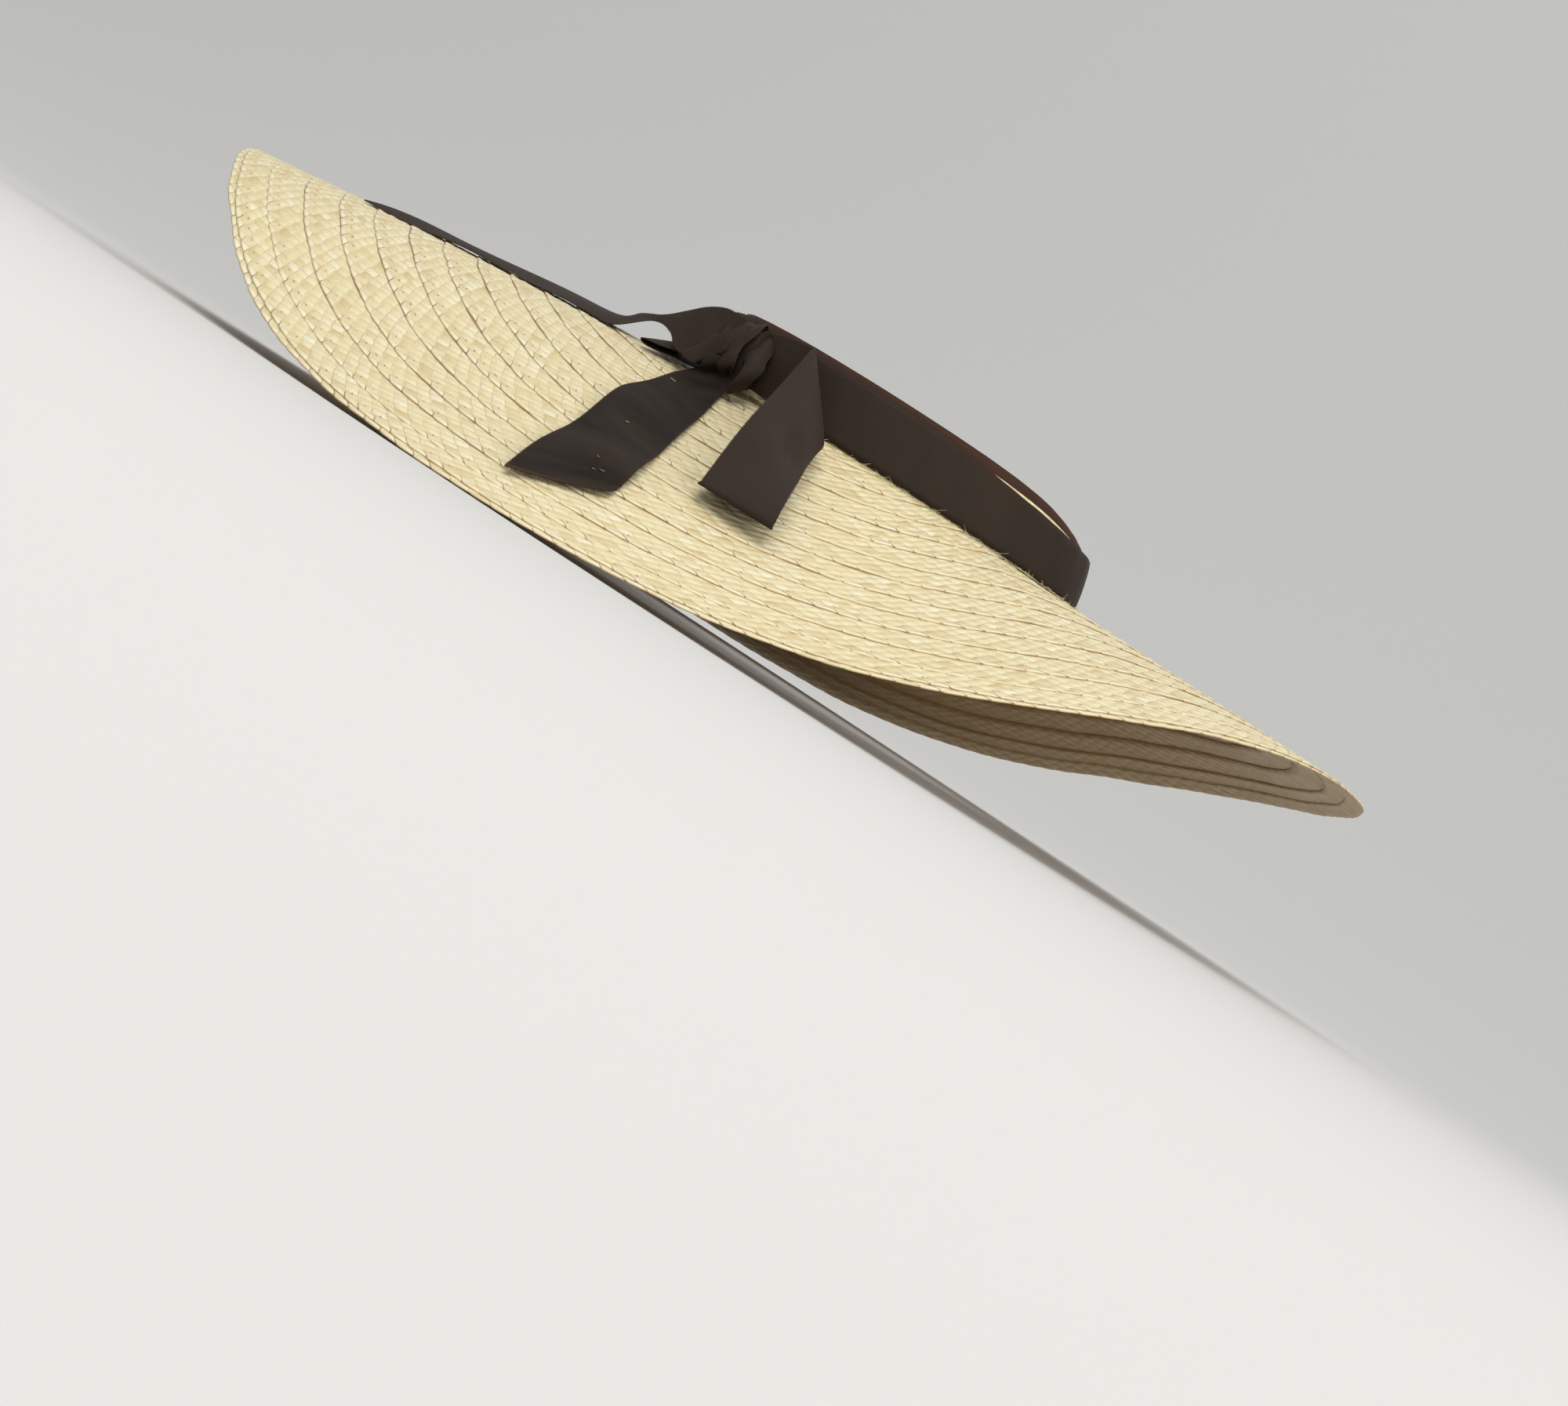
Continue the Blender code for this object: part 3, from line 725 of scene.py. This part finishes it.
# %% [markdown]
# ## Bow
# The bow is one ribbon about 30 mm wide: two flat folded loops and two free ends, held by a
# crumpled wrap. Cloth simulation could fold it, but its creases are pressed and known, so
# each strip is drawn as a table of sections: where its two edges lie along the band, out
# from it and above the brim. A smooth curve through the sections gives the surface.

# %% Strips from sections
BOW_ANGLE = math.radians(56.0)
STRIP_STEP = 1.6
STRIP_COLUMNS = 30
RIBBON_THICK = 0.45
LEAST_LIFT = 0.25
RAGGED = (-0.35, 0.15)
WOVEN_EDGE_TINT = 0.2
SHARP_FOLD = math.radians(50)

bow_foot = np.array([*opening(BOW_ANGLE), 0.0])
out_axis = unit_vectors(np.array([math.sin(BOW_ANGLE) / OPENING_WIDTH,
                                  -math.cos(BOW_ANGLE) / OPENING_LENGTH, 0.0]))
along_axis = np.array([-out_axis[1], out_axis[0], 0.0])
up_axis = np.array([0.0, 0.0, 1.0])


def from_bow(local):
    """Hat position of (along the band, out from it, up) at the bow's foot."""
    return bow_foot + np.asarray(local, float) @ np.stack([along_axis, out_axis, up_axis])


def through(sections, step):
    """Catmull-Rom curve through table rows, with points about step millimetres apart."""
    table = np.asarray(sections, float)
    longer = np.concatenate([table[:1] * 2 - table[1:2], table, table[-1:] * 2 - table[-2:-1]])
    made = []
    for i in range(len(table) - 1):
        before, start, end, after = longer[i:i + 4]
        middle = (start[:3] + start[3:6]) / 2 - (end[:3] + end[3:6]) / 2
        count = max(3, int(np.linalg.norm(middle) / step))
        t = (np.arange(count) / count)[:, None]
        made.append(0.5 * (2 * start + (end - before) * t
                           + (2 * before - 5 * start + 4 * end - after) * t ** 2
                           + (3 * start - before - 3 * end + after) * t ** 3))
    return np.concatenate(made + [table[-1:]])


def grid_normals(surface):
    """Unit normals: the cross product of the differences along both grid directions."""
    return unit_vectors(np.cross(np.gradient(surface, axis=0), np.gradient(surface, axis=1)))


def strip(name, sections, shape=None, cut_end=False, step=STRIP_STEP, lifted=True, unit=1.0):
    """Thin ribbon from sections (edge a: along, out, height; edge b: the same).

    Heights count from the brim's top if lifted, or else from the crown's foot. shape(s, t)
    adds a height along the normal, with s from 0 to 1 along the ribbon and t across it.
    side is 1 at a cut end, and a little above 0 along the woven edges. It gives the piece,
    its middle surface, and its mean width and its length in metres.
    """
    edges = through(sections, step)
    t = np.linspace(0, 1, STRIP_COLUMNS + 1)[None, :]
    local = edges[:, None, :3] * (1 - t[..., None]) + edges[:, None, 3:6] * t[..., None]
    surface = from_bow(local)
    ground = brim_height(surface[..., 0], surface[..., 1]) + BRIM_TOP
    height = ground + local[..., 2] if lifted else local[..., 2]
    surface[..., 2] = np.maximum(height, ground + LEAST_LIFT)
    s = np.linspace(0, 1, len(edges))[:, None]
    normal = grid_normals(surface)
    if shape is not None:
        surface = surface + normal * shape(s, t)[..., None]
        normal = grid_normals(surface)
    if cut_end:
        ragged = np.random.default_rng(len(edges)).uniform(*RAGGED, (STRIP_COLUMNS + 1, 1))
        surface[-1] += unit_vectors(surface[-1] - surface[-2]) * ragged
    half = normal * RIBBON_THICK / 2
    run = run_along(surface[:, STRIP_COLUMNS // 2])
    width = np.linalg.norm(np.diff(surface, axis=1), axis=-1).sum(axis=1)
    outlines = np.concatenate([surface + half, (surface - half)[:, ::-1]], axis=1)
    side = np.zeros(surface.shape[:2])
    side[:, [0, -1]] = WOVEN_EDGE_TINT
    if cut_end:
        side[-1] = 1.0
    values = np.stack(np.broadcast_arrays(run[:, None], t * width.mean(), side), axis=-1)
    values = np.concatenate([values, values[:, ::-1]], axis=1)
    piece = sleeve(name, outlines, values[..., :2] / unit, values[..., 2])
    piece.data.set_sharp_from_angle(angle=SHARP_FOLD)
    print(name, "is", round(run[-1]), "mm long and", round(width.mean(), 1), "mm wide")
    return piece, surface, (width.mean() * MM, run[-1] * MM)


# %% Loops and free ends
LEFT_LOOP = (
    (-9, 7, 26, -6, 7, 5), (2, 6, 28, 12, 5, 3.5), (12, 7, 30, 36, 6.5, 6),
    (14, 9.5, 31, 42, 10, 8), (24, 25, 27, 53, 25, 13), (38, 48, 20, 68.8, 45.5, 15.4),
    (52, 69, 11.5, 81.5, 61, 12.8), (55.5, 74, 8.5, 85, 65.5, 11), (52, 69.5, 5.5, 82, 61, 7),
    (38, 42, 2.5, 62, 38, 2.5), (23, 20, 2.5, 37, 18, 2.5), (10, 9, 4, 20, 9, 4),
)
RIGHT_LOOP = (
    (-17, 3, 12, -16, 8, 9), (-30, 0, 10, -31, 10, 6.5), (-42, -2, 7.5, -42, 14, 4.2),
    (-50, -6, 6, -52, 14, 3.4), (-52, -7, 4.2, -54, 13, 2.5), (-48, -5, 2.5, -50, 13, 1.6),
    (-36, -1, 2.4, -37, 11, 1.6), (-28, 2, 3.5, -28, 9, 2), (-16, 4, 7, -15, 9, 5),
)
LEFT_TAIL = (
    (-16, 8, 10, -8, 10, 6), (-25, 15, 3.2, -4, 17, 2.0), (-20, 30, 2.4, 10, 38, 1.5),
    (-12, 55, 1.8, 26, 64, 1.3), (7, 92, 1.8, 41, 88, 1.2), (29, 133, 2.0, 49, 104, 1.2),
)
RIGHT_TAIL = (
    (-20, 9, 27, -15, 13, 9), (-30, 9, 27, -29, 15.5, 6.5), (-39, 8.5, 24, -37, 15.5, 7.5),
    (-48, 7, 19, -45, 12.5, 10.5), (-60, 4, 12.5, -60, 6, 9.5), (-77, -6, 8.5, -74, 9, 1.0),
    (-98, -16, 4.6, -91, 11, 0.2), (-137, 2, 3.2, -128, 28, 0.2), (-175, 26, 2.4, -173, 55, 0.3),
)


def soft_waves(s, t, size, seed):
    """Gentle unevenness: four long sine waves in both directions with random phases."""
    rng = np.random.default_rng(seed)
    total = 0.0
    for _ in range(4):
        a, b = rng.uniform(3, 14), rng.uniform(-5, 5)
        total = total + np.sin(a * s * 2 + b * t + rng.uniform(0, 6.28))
    return total * size / 4


def tail_folds(s, t):
    """Slantwise ripples across the free end, as a sine wave that fades at its root."""
    return 1.4 * (1 + np.sin(2 * math.pi * (2.6 * s + 0.5 * t))) * np.clip(3 * s - 0.4, 0, 1)


def loop_dent(s, t):
    """A soft dent near the loop's outer edge: a Gaussian bell 2.6 mm deep."""
    return -2.6 * np.exp(-((s - 0.36) / 0.05) ** 2 - ((t - 0.72) / 0.2) ** 2)


WAVE_SIZE = 0.8
strips = {}
for name, table, fold, seed, finish in (
        ("bow_loop_left", LEFT_LOOP, loop_dent, 1, dark_ribbon),
        ("bow_loop_right", RIGHT_LOOP, None, 2, dark_ribbon),
        ("bow_tail_left", LEFT_TAIL, tail_folds, 3, shaded_end_ribbon),
        ("bow_tail_right", RIGHT_TAIL, None, 4, dark_ribbon)):
    strips[name] = strip(
        name + "_ribbon", table, cut_end="tail" in name,
        shape=lambda s, t: soft_waves(s, t, WAVE_SIZE, seed) + (fold(s, t) if fold else 0))
    dress(strips[name][0], finish, "dark_ribbon", name)

# %% [markdown]
# ## Knot
# The middle of the bow is the same ribbon, pulled tight and crumpled. One piece is wrapped
# over the gathers, a second shows its folded end beside it, and a third curls out below as
# a small ear. A dark core stands for the gathers inside. Creases are soft valleys,
# made from the absolute value of a sine, which is what pinched cloth looks like.

# %% Knot core
KNOT_CENTRE = (-11.5, 7.4, 11.5)
KNOT_HALF = (7.4, 5.6, 12.5)
KNOT_LEAN = math.radians(33.0)
KNOT_RINGS, KNOT_SPOTS = 70, 90
POLE_GAP = 0.03
KNOT_REST = 1.6
PATTERN_UP, PATTERN_ROUND = 15, 8


def knot_surface():
    """Leaning egg: radius waved by creases |sin| that fan out from the pinch."""
    rise, turn_angle = np.meshgrid(np.linspace(POLE_GAP, math.pi - POLE_GAP, KNOT_RINGS),
                                   np.linspace(0, 2 * math.pi, KNOT_SPOTS, endpoint=False),
                                   indexing="ij")
    fan = 5.0 * rise + 1.6 * np.sin(turn_angle + 0.4) + 0.5 * np.sin(3 * turn_angle)
    crease = np.abs(np.sin(fan)) ** 0.6
    girth = np.sin(rise) ** 0.7 * (0.88 + 0.12 * crease)
    x = KNOT_HALF[0] * girth * np.cos(turn_angle)
    y = KNOT_HALF[1] * girth * np.sin(turn_angle)
    z = KNOT_HALF[2] * np.cos(rise)
    local = np.stack([x * math.cos(KNOT_LEAN) - z * math.sin(KNOT_LEAN), y,
                      x * math.sin(KNOT_LEAN) + z * math.cos(KNOT_LEAN)], axis=-1)
    points = from_bow(local + np.array(KNOT_CENTRE))
    ground = brim_height(points[..., 0], points[..., 1])
    points[..., 2] = np.maximum(points[..., 2], ground + KNOT_REST)
    return points, np.stack([rise * PATTERN_UP, turn_angle * PATTERN_ROUND], axis=-1)


knot = sleeve("bow_knot_core", *knot_surface(), np.zeros((KNOT_RINGS, KNOT_SPOTS)))
dress(knot, dark_ribbon, "dark_ribbon", "bow_knot")
print("knot core has", len(knot.data.polygons), "faces")

# %% Wrap, fold and ear
KNOT_WRAP = (
    (-29.5, 0, 21.0, -15.5, 0, 24.5), (-27.3, 6, 20.6, -11.3, 7, 25.0),
    (-23.4, 12, 16.1, -8.3, 13, 20.5), (-22.1, 15, 9.9, -9.3, 16, 13.9),
    (-21.3, 16.5, 4.4, -7.7, 17, 9.1), (-21.6, 15.5, 0.7, -7.0, 16, 5.8),
    (-20.8, 12, 0.2, -9.0, 12.5, 3.9),
)
KNOT_FOLD = (
    (-37.0, 8, 3.5, -30.0, 8, 12.5), (-32.2, 15, 1.4, -24.0, 14.5, 13.0),
    (-29.7, 17.5, 0.1, -20.3, 16.5, 13.2), (-26.0, 18, -0.5, -16.5, 17.5, 11.5),
    (-22.7, 17, -0.2, -12.8, 17, 9.7), (-23.5, 14, 0.1, -13.6, 14, 8.9),
)
KNOT_EAR = (
    (-9.0, 8, 21.4, -3.6, 7, 21.2), (-8.4, 11.5, 17.0, -0.8, 10, 18.0),
    (-8.2, 14, 12.6, 1.4, 13, 14.0), (-4.2, 16, 8.9, 4.6, 15.5, 10.4),
    (-2.4, 17, 4.0, 4.6, 17, 5.4), (-4.2, 15, 0.3, 2.0, 16, 0.1),
    (-6.9, 12.5, -0.8, -0.4, 14, -1.1),
)


def wrap_creases(s, t):
    """Two soft valleys along the wrap that drift across it, and fine unevenness."""
    valley = np.abs(np.sin(math.pi * (2.1 * t + 0.8 * s + 0.35))) ** 0.7
    return 1.5 * valley - 0.9 + 0.25 * np.sin(9 * s + 6 * t)


def fold_creases(s, t):
    """A gentle sag in the middle of the fold."""
    return -0.6 * np.sin(math.pi * t) * np.sin(math.pi * s) + 0.2 * np.sin(7 * t + 3 * s)


def ear_creases(s, t):
    """The ear's curl: its middle bends outwards like a gutter, most at its lower end."""
    return (1.9 + 2.4 * s) * np.sin(math.pi * t) - 0.5 * np.sin(2 * math.pi * s) - 1.2


KNOT_STEP = 0.7
knot_strips = [strip(name, table, creases, step=KNOT_STEP, lifted=False)
               for name, table, creases in (("bow_knot_wrap", KNOT_WRAP, wrap_creases),
                                            ("bow_knot_fold", KNOT_FOLD, fold_creases),
                                            ("bow_knot_ear", KNOT_EAR, ear_creases))]
for piece, surface, flat in knot_strips:
    dress(piece, dark_ribbon, "dark_ribbon", "bow_knot")

# %% [markdown]
# ## Loose ends
# Small untidy things make the hat look handled. Straw fibres stick out where the innermost
# row meets the band, and a few more along the rows. The ribbon's slanted cut has frayed,
# and bits of pale lint lie on the bow. Each is a hair: a three-sided tube along a bent line.
# Hundreds are built at once as arrays, which keeps them in one light mesh for each kind.

# %% Hairs helper
HAIR_STATIONS, HAIR_SIDES = 5, 3
HAIR_TAPER = 0.6
SKEW_AXIS = np.array([0.31, 0.52, 0.79])


def hairs(name, starts, headings, lengths, bends, radius, material, slot, stations=HAIR_STATIONS):
    """One mesh of closed thin tubes: start + heading * length * t + bend * length * t^2."""
    count = len(starts)
    t = np.linspace(0, 1, stations)[None, :, None]
    path = headings[:, None] * t + bends[:, None] * t ** 2
    line = starts[:, None] + lengths[:, None, None] * path
    ahead = unit_vectors(np.gradient(line, axis=1))
    first = unit_vectors(np.cross(ahead, SKEW_AXIS))[:, :, None]
    second = np.cross(ahead[:, :, None], first)
    turn = (np.arange(HAIR_SIDES) * 2 * math.pi / HAIR_SIDES)[:, None]
    ring = first * np.cos(turn) + second * np.sin(turn)
    taper = radius * (1 - HAIR_TAPER * t[..., None])
    points = CROWN_FOOT + (line[:, :, None] + ring * taper).reshape(-1, 3) * MM
    base = (np.arange(count) * stations * HAIR_SIDES)[:, None, None]
    row = base + (np.arange(stations - 1) * HAIR_SIDES)[None, :, None]
    spot = np.arange(HAIR_SIDES)
    beside = (spot + 1) % HAIR_SIDES
    quads = np.stack([row + spot, row + beside, row + HAIR_SIDES + beside,
                      row + HAIR_SIDES + spot], axis=-1).reshape(-1, 4)
    roots = base[:, 0] + spot[::-1]
    tips = base[:, 0] + (stations - 1) * HAIR_SIDES + spot
    mesh = bpy.data.meshes.new(name)
    mesh.from_pydata(points, [], quads.tolist() + roots.tolist() + tips.tolist())
    mesh.uv_layers.new(name="pattern")
    mesh.shade_smooth()
    print(name, "has", count, "hairs")
    return dress(add_object(name, mesh), material, slot)


CLOUDS_PER_METRE = 300.0


def plain_material(name, colour, roughness):
    """A material of one colour with a soft cloudy unevenness."""
    material, tree, shader = bare_material(name, roughness)
    tone = cloud(tree, tree.nodes.new("ShaderNodeTexCoord").outputs["Object"], CLOUDS_PER_METRE)
    dim = tuple(channel * 0.75 for channel in colour)
    feed(tree, shader.inputs["Base Color"], blend(tree, tone, dim, colour))
    return material


# %% Straw fibres
fibre_straw = plain_material("straw_fibre", (0.80, 0.72, 0.44), 0.55)
fray_thread = plain_material("frayed_thread", (0.11, 0.046, 0.022), 0.8)
edge_thread = plain_material("edge_thread", (0.052, 0.028, 0.019), 0.8)
pale_lint = plain_material("pale_lint", (0.55, 0.50, 0.36), 0.9)
rng = np.random.default_rng(2026)
FOOT_FIBRES, ROW_FIBRES = 900, 260
FOOT_LIFT, ROW_LIFT = 0.05, 0.55


def brim_top_at(angle, out):
    """Points on the braid, out millimetres outside the band's foot at the given angles."""
    return brim_at(out / slant(angle), angle) + up_axis * (BRIM_TOP + FOOT_LIFT)


angle = rng.uniform(-math.pi, math.pi, FOOT_FIBRES)
starts = brim_top_at(angle, rng.uniform(0.2, 1.4, FOOT_FIBRES))
tangent = unit_vectors(brim_top_at(angle + 0.01, 0.5) - brim_top_at(angle - 0.01, 0.5))
outward = unit_vectors(brim_at(0.1, angle) - brim_at(0.0, angle))
sway = rng.normal(0, 1, (FOOT_FIBRES, 3))
headings = (tangent * np.sign(sway[:, :1]) + outward * (0.35 + 0.3 * sway[:, 1:2])
            + up_axis * np.abs(sway[:, 2:]) * 0.30)
bends = rng.normal(0, 0.22, (FOOT_FIBRES, 3)) - up_axis * 0.1
hairs("crown_foot_fibres", starts, unit_vectors(headings), rng.uniform(1.2, 4.5, FOOT_FIBRES),
      bends, 0.085, fibre_straw, "straw")

angle = rng.uniform(-math.pi, math.pi, ROW_FIBRES)
row_start = rng.integers(1, 9, ROW_FIBRES) * ROW_WIDTH
inward = row_start + rng.uniform(-0.2, 0.4, ROW_FIBRES)
starts = brim_in(np.minimum(inward, slant(angle) - 6), angle) + up_axis * (BRIM_TOP + ROW_LIFT)
headings = unit_vectors(rng.normal(0, 1, (ROW_FIBRES, 3)) * np.array([1, 1, 0.12]))
headings[:, 2] = np.abs(headings[:, 2])
hairs("stray_straw_fibres", starts, headings, rng.uniform(0.8, 3.0, ROW_FIBRES),
      rng.normal(0, 0.2, (ROW_FIBRES, 3)) * np.array([1, 1, 0.3]), 0.06, fibre_straw, "straw")

# %% Frayed cut and woven edges
FRAY_THREADS = 320
EDGE_LOOP = 0.26
tail = strips["bow_tail_left"][1]

where = rng.uniform(0, STRIP_COLUMNS - 0.001, FRAY_THREADS)
column, share = where.astype(int), (where % 1)[:, None]
starts = tail[-1, column] * (1 - share) + tail[-1, column + 1] * share
away = unit_vectors(tail[-1, column] - tail[-2, column])
headings = unit_vectors(away + rng.normal(0, 0.35, (FRAY_THREADS, 3)))
hairs("frayed_cut", starts, headings, rng.uniform(0.5, 1.9, FRAY_THREADS),
      rng.normal(0, 0.25, (FRAY_THREADS, 3)), 0.07, fray_thread, "dark_ribbon")

starts, headings = [], []
for piece, surface, flat in strips.values():
    for edge, beside in ((surface[:, 0], surface[:, 2]), (surface[:, -1], surface[:, -3])):
        run = run_along(edge)
        stops = np.arange(0.5, run[-1], RIB_PITCH)
        for made, values in ((starts, edge), (headings, unit_vectors(edge - beside))):
            made.append(np.stack([np.interp(stops, run, axis) for axis in values.T], axis=-1))
starts, headings = np.concatenate(starts), np.concatenate(headings)
hairs("woven_edge_threads", starts, headings, rng.uniform(0.30, 0.50, len(starts)),
      np.zeros_like(starts), EDGE_LOOP, edge_thread, "dark_ribbon", stations=2)

# %% Lint
LINT_LIFT = 0.42
# Share along the free end and across it, length, heading and bend of each bit.
LINT = np.array([
    (0.22, 0.20, 4.2, 0.3, -0.9, 0.05, -0.45, 0.27, 0),
    (0.80, 0.62, 3.0, 0.7, -0.5, 0.10, 0.27, 0.36, 0),
    (0.84, 0.70, 4.0, 0.9, 0.1, 0.05, -0.36, 0.45, 0),
    (0.86, 0.66, 2.6, 0.4, 0.8, 0.10, 0.45, -0.27, 0),
    (0.55, 0.40, 1.6, 0.1, 0.9, 0.05, 0.36, 0.0, 0),
])
row, column = (LINT[:, :2] * (np.array(tail.shape[:2]) - 1)).astype(int).T
hairs("lint", tail[row, column] + up_axis * LINT_LIFT, LINT[:, 3:6], LINT[:, 2], LINT[:, 6:],
      0.24, pale_lint, "dark_ribbon")

# %% [markdown]
# ## Turned-up edge by the bow
# Below the knot the innermost row of braid is pushed up against the band and shows its
# edge. It is a short strip of the same braid that leans on the ribbon's foot. It uses the
# ribbon helper, since both are thin strips, but with the braid's pattern.

# %% Turned-up edge
TURNED_EDGE = (
    (-24, 1.0, 0.4, -25, 4.2, 0.0), (-18, 0.8, 1.6, -19, 4.4, 0.8), (-10, 0.7, 2.4, -10, 4.8, 0.9),
    (-1, 0.7, 2.4, 0, 4.8, 0.8), (7, 0.8, 1.6, 8, 4.4, 0.6), (15, 1.0, 0.4, 16, 4.2, 0.0),
)
turned_up = strip("turned_up_braid", TURNED_EDGE, step=0.8, lifted=False, unit=PLAIT_ACROSS)
dress(turned_up[0], straw, "straw", "brim")

# %% [markdown]
# ## Floor and light
# The floor is a pale sheet that starts to sweep up just behind the hat, on a wide curve,
# so no edge of it shows in the leaning view. One broad lamp above the hat's left side gives
# the soft light of the photograph, one further back on that side opens the shadows, and a
# third lights the sweep behind the hat.

# %% Studio
FLOOR_START, FLOOR_LEVEL, SWEEP_RADIUS = 3.0, 3.4, 3.5
SHEET_LENGTH, SHEET_HALF_WIDTH = 11.0, 6.0
STUDIO_POWER, STUDIO_GREY = 0.58, (0.84, 0.85, 0.86, 1.0)


def sweep_point(u, v):
    """Floor profile: level to x = -0.4 m, then a quarter circle of 3.5 m, then straight up."""
    turned = np.clip((u - FLOOR_LEVEL) / SWEEP_RADIUS, 0, math.pi / 2)
    past = np.clip(u - FLOOR_LEVEL - SWEEP_RADIUS * math.pi / 2, 0, None)
    x = FLOOR_START - np.minimum(u, FLOOR_LEVEL) - SWEEP_RADIUS * np.sin(turned)
    return np.stack([x, v, SWEEP_RADIUS * (1 - np.cos(turned)) + past], axis=-1)


grid = sweep_point(*np.meshgrid(np.linspace(0, SHEET_LENGTH, 160),
                                np.linspace(-SHEET_HALF_WIDTH, SHEET_HALF_WIDTH, 9),
                                indexing="ij"))
wide = grid.shape[1]
index = (np.arange(grid.shape[0] - 1)[:, None] * wide + np.arange(wide - 1)[None, :]).ravel()
faces = np.stack([index, index + 1, index + wide + 1, index + wide], axis=-1)
floor_mesh = bpy.data.meshes.new("floor")
floor_mesh.from_pydata(grid.reshape(-1, 3), [], faces.tolist())
floor_mesh.shade_smooth()
floor = add_object("floor", floor_mesh)
paper, paper_tree, paper_shader = bare_material("pale_paper", roughness=0.9, specular=0.1)
paper_shader.inputs["Base Color"].default_value = (0.66, 0.655, 0.64, 1.0)
floor_mesh.materials.append(paper)


def soft_lamp(name, place, size, power, colour=(1.0, 1.0, 1.0), aim=(0.0, 0.0, 0.0)):
    """Square area lamp that faces the aimed point."""
    light = bpy.data.lights.new(name, "AREA")
    light.shape = "SQUARE"
    light.size = size
    light.energy = power
    light.color = colour
    back = unit_vectors(np.array(place) - np.array(aim))
    right = unit_vectors(np.cross((0.0, 1.0, 0.0), back))
    lamp = add_object(name, light)
    lamp.matrix_world = turn_and_place(right, np.cross(back, right), back, place)
    print(name, "lamp:", power, "watts")


soft_lamp("key", (1.25, -0.25, 1.6), 1.3, 21.0, (1.0, 0.985, 0.95))
soft_lamp("fill", (1.3, 1.8, 1.0), 1.8, 20.0, (1.0, 0.985, 0.96))
soft_lamp("backdrop", (-1.9, 0.3, 2.6), 2.6, 13.0, aim=(-2.3, 0.3, 0.6))
world = bpy.data.worlds.new("room")
world.use_nodes = True
room_light = world.node_tree.nodes["Background"]
room_light.inputs["Color"].default_value = STUDIO_GREY
room_light.inputs["Strength"].default_value = STUDIO_POWER
bpy.context.scene.world = world

# %% [markdown]
# ## Cloth facts and size
# Each strip comes with its flat size, its mean width and its length, and is sorted as
# folded if it is a loop and as laid otherwise.

# %% Sort the strips
for name, (piece, surface, flat) in strips.items():
    held = "folded" if "loop" in name else "laid"
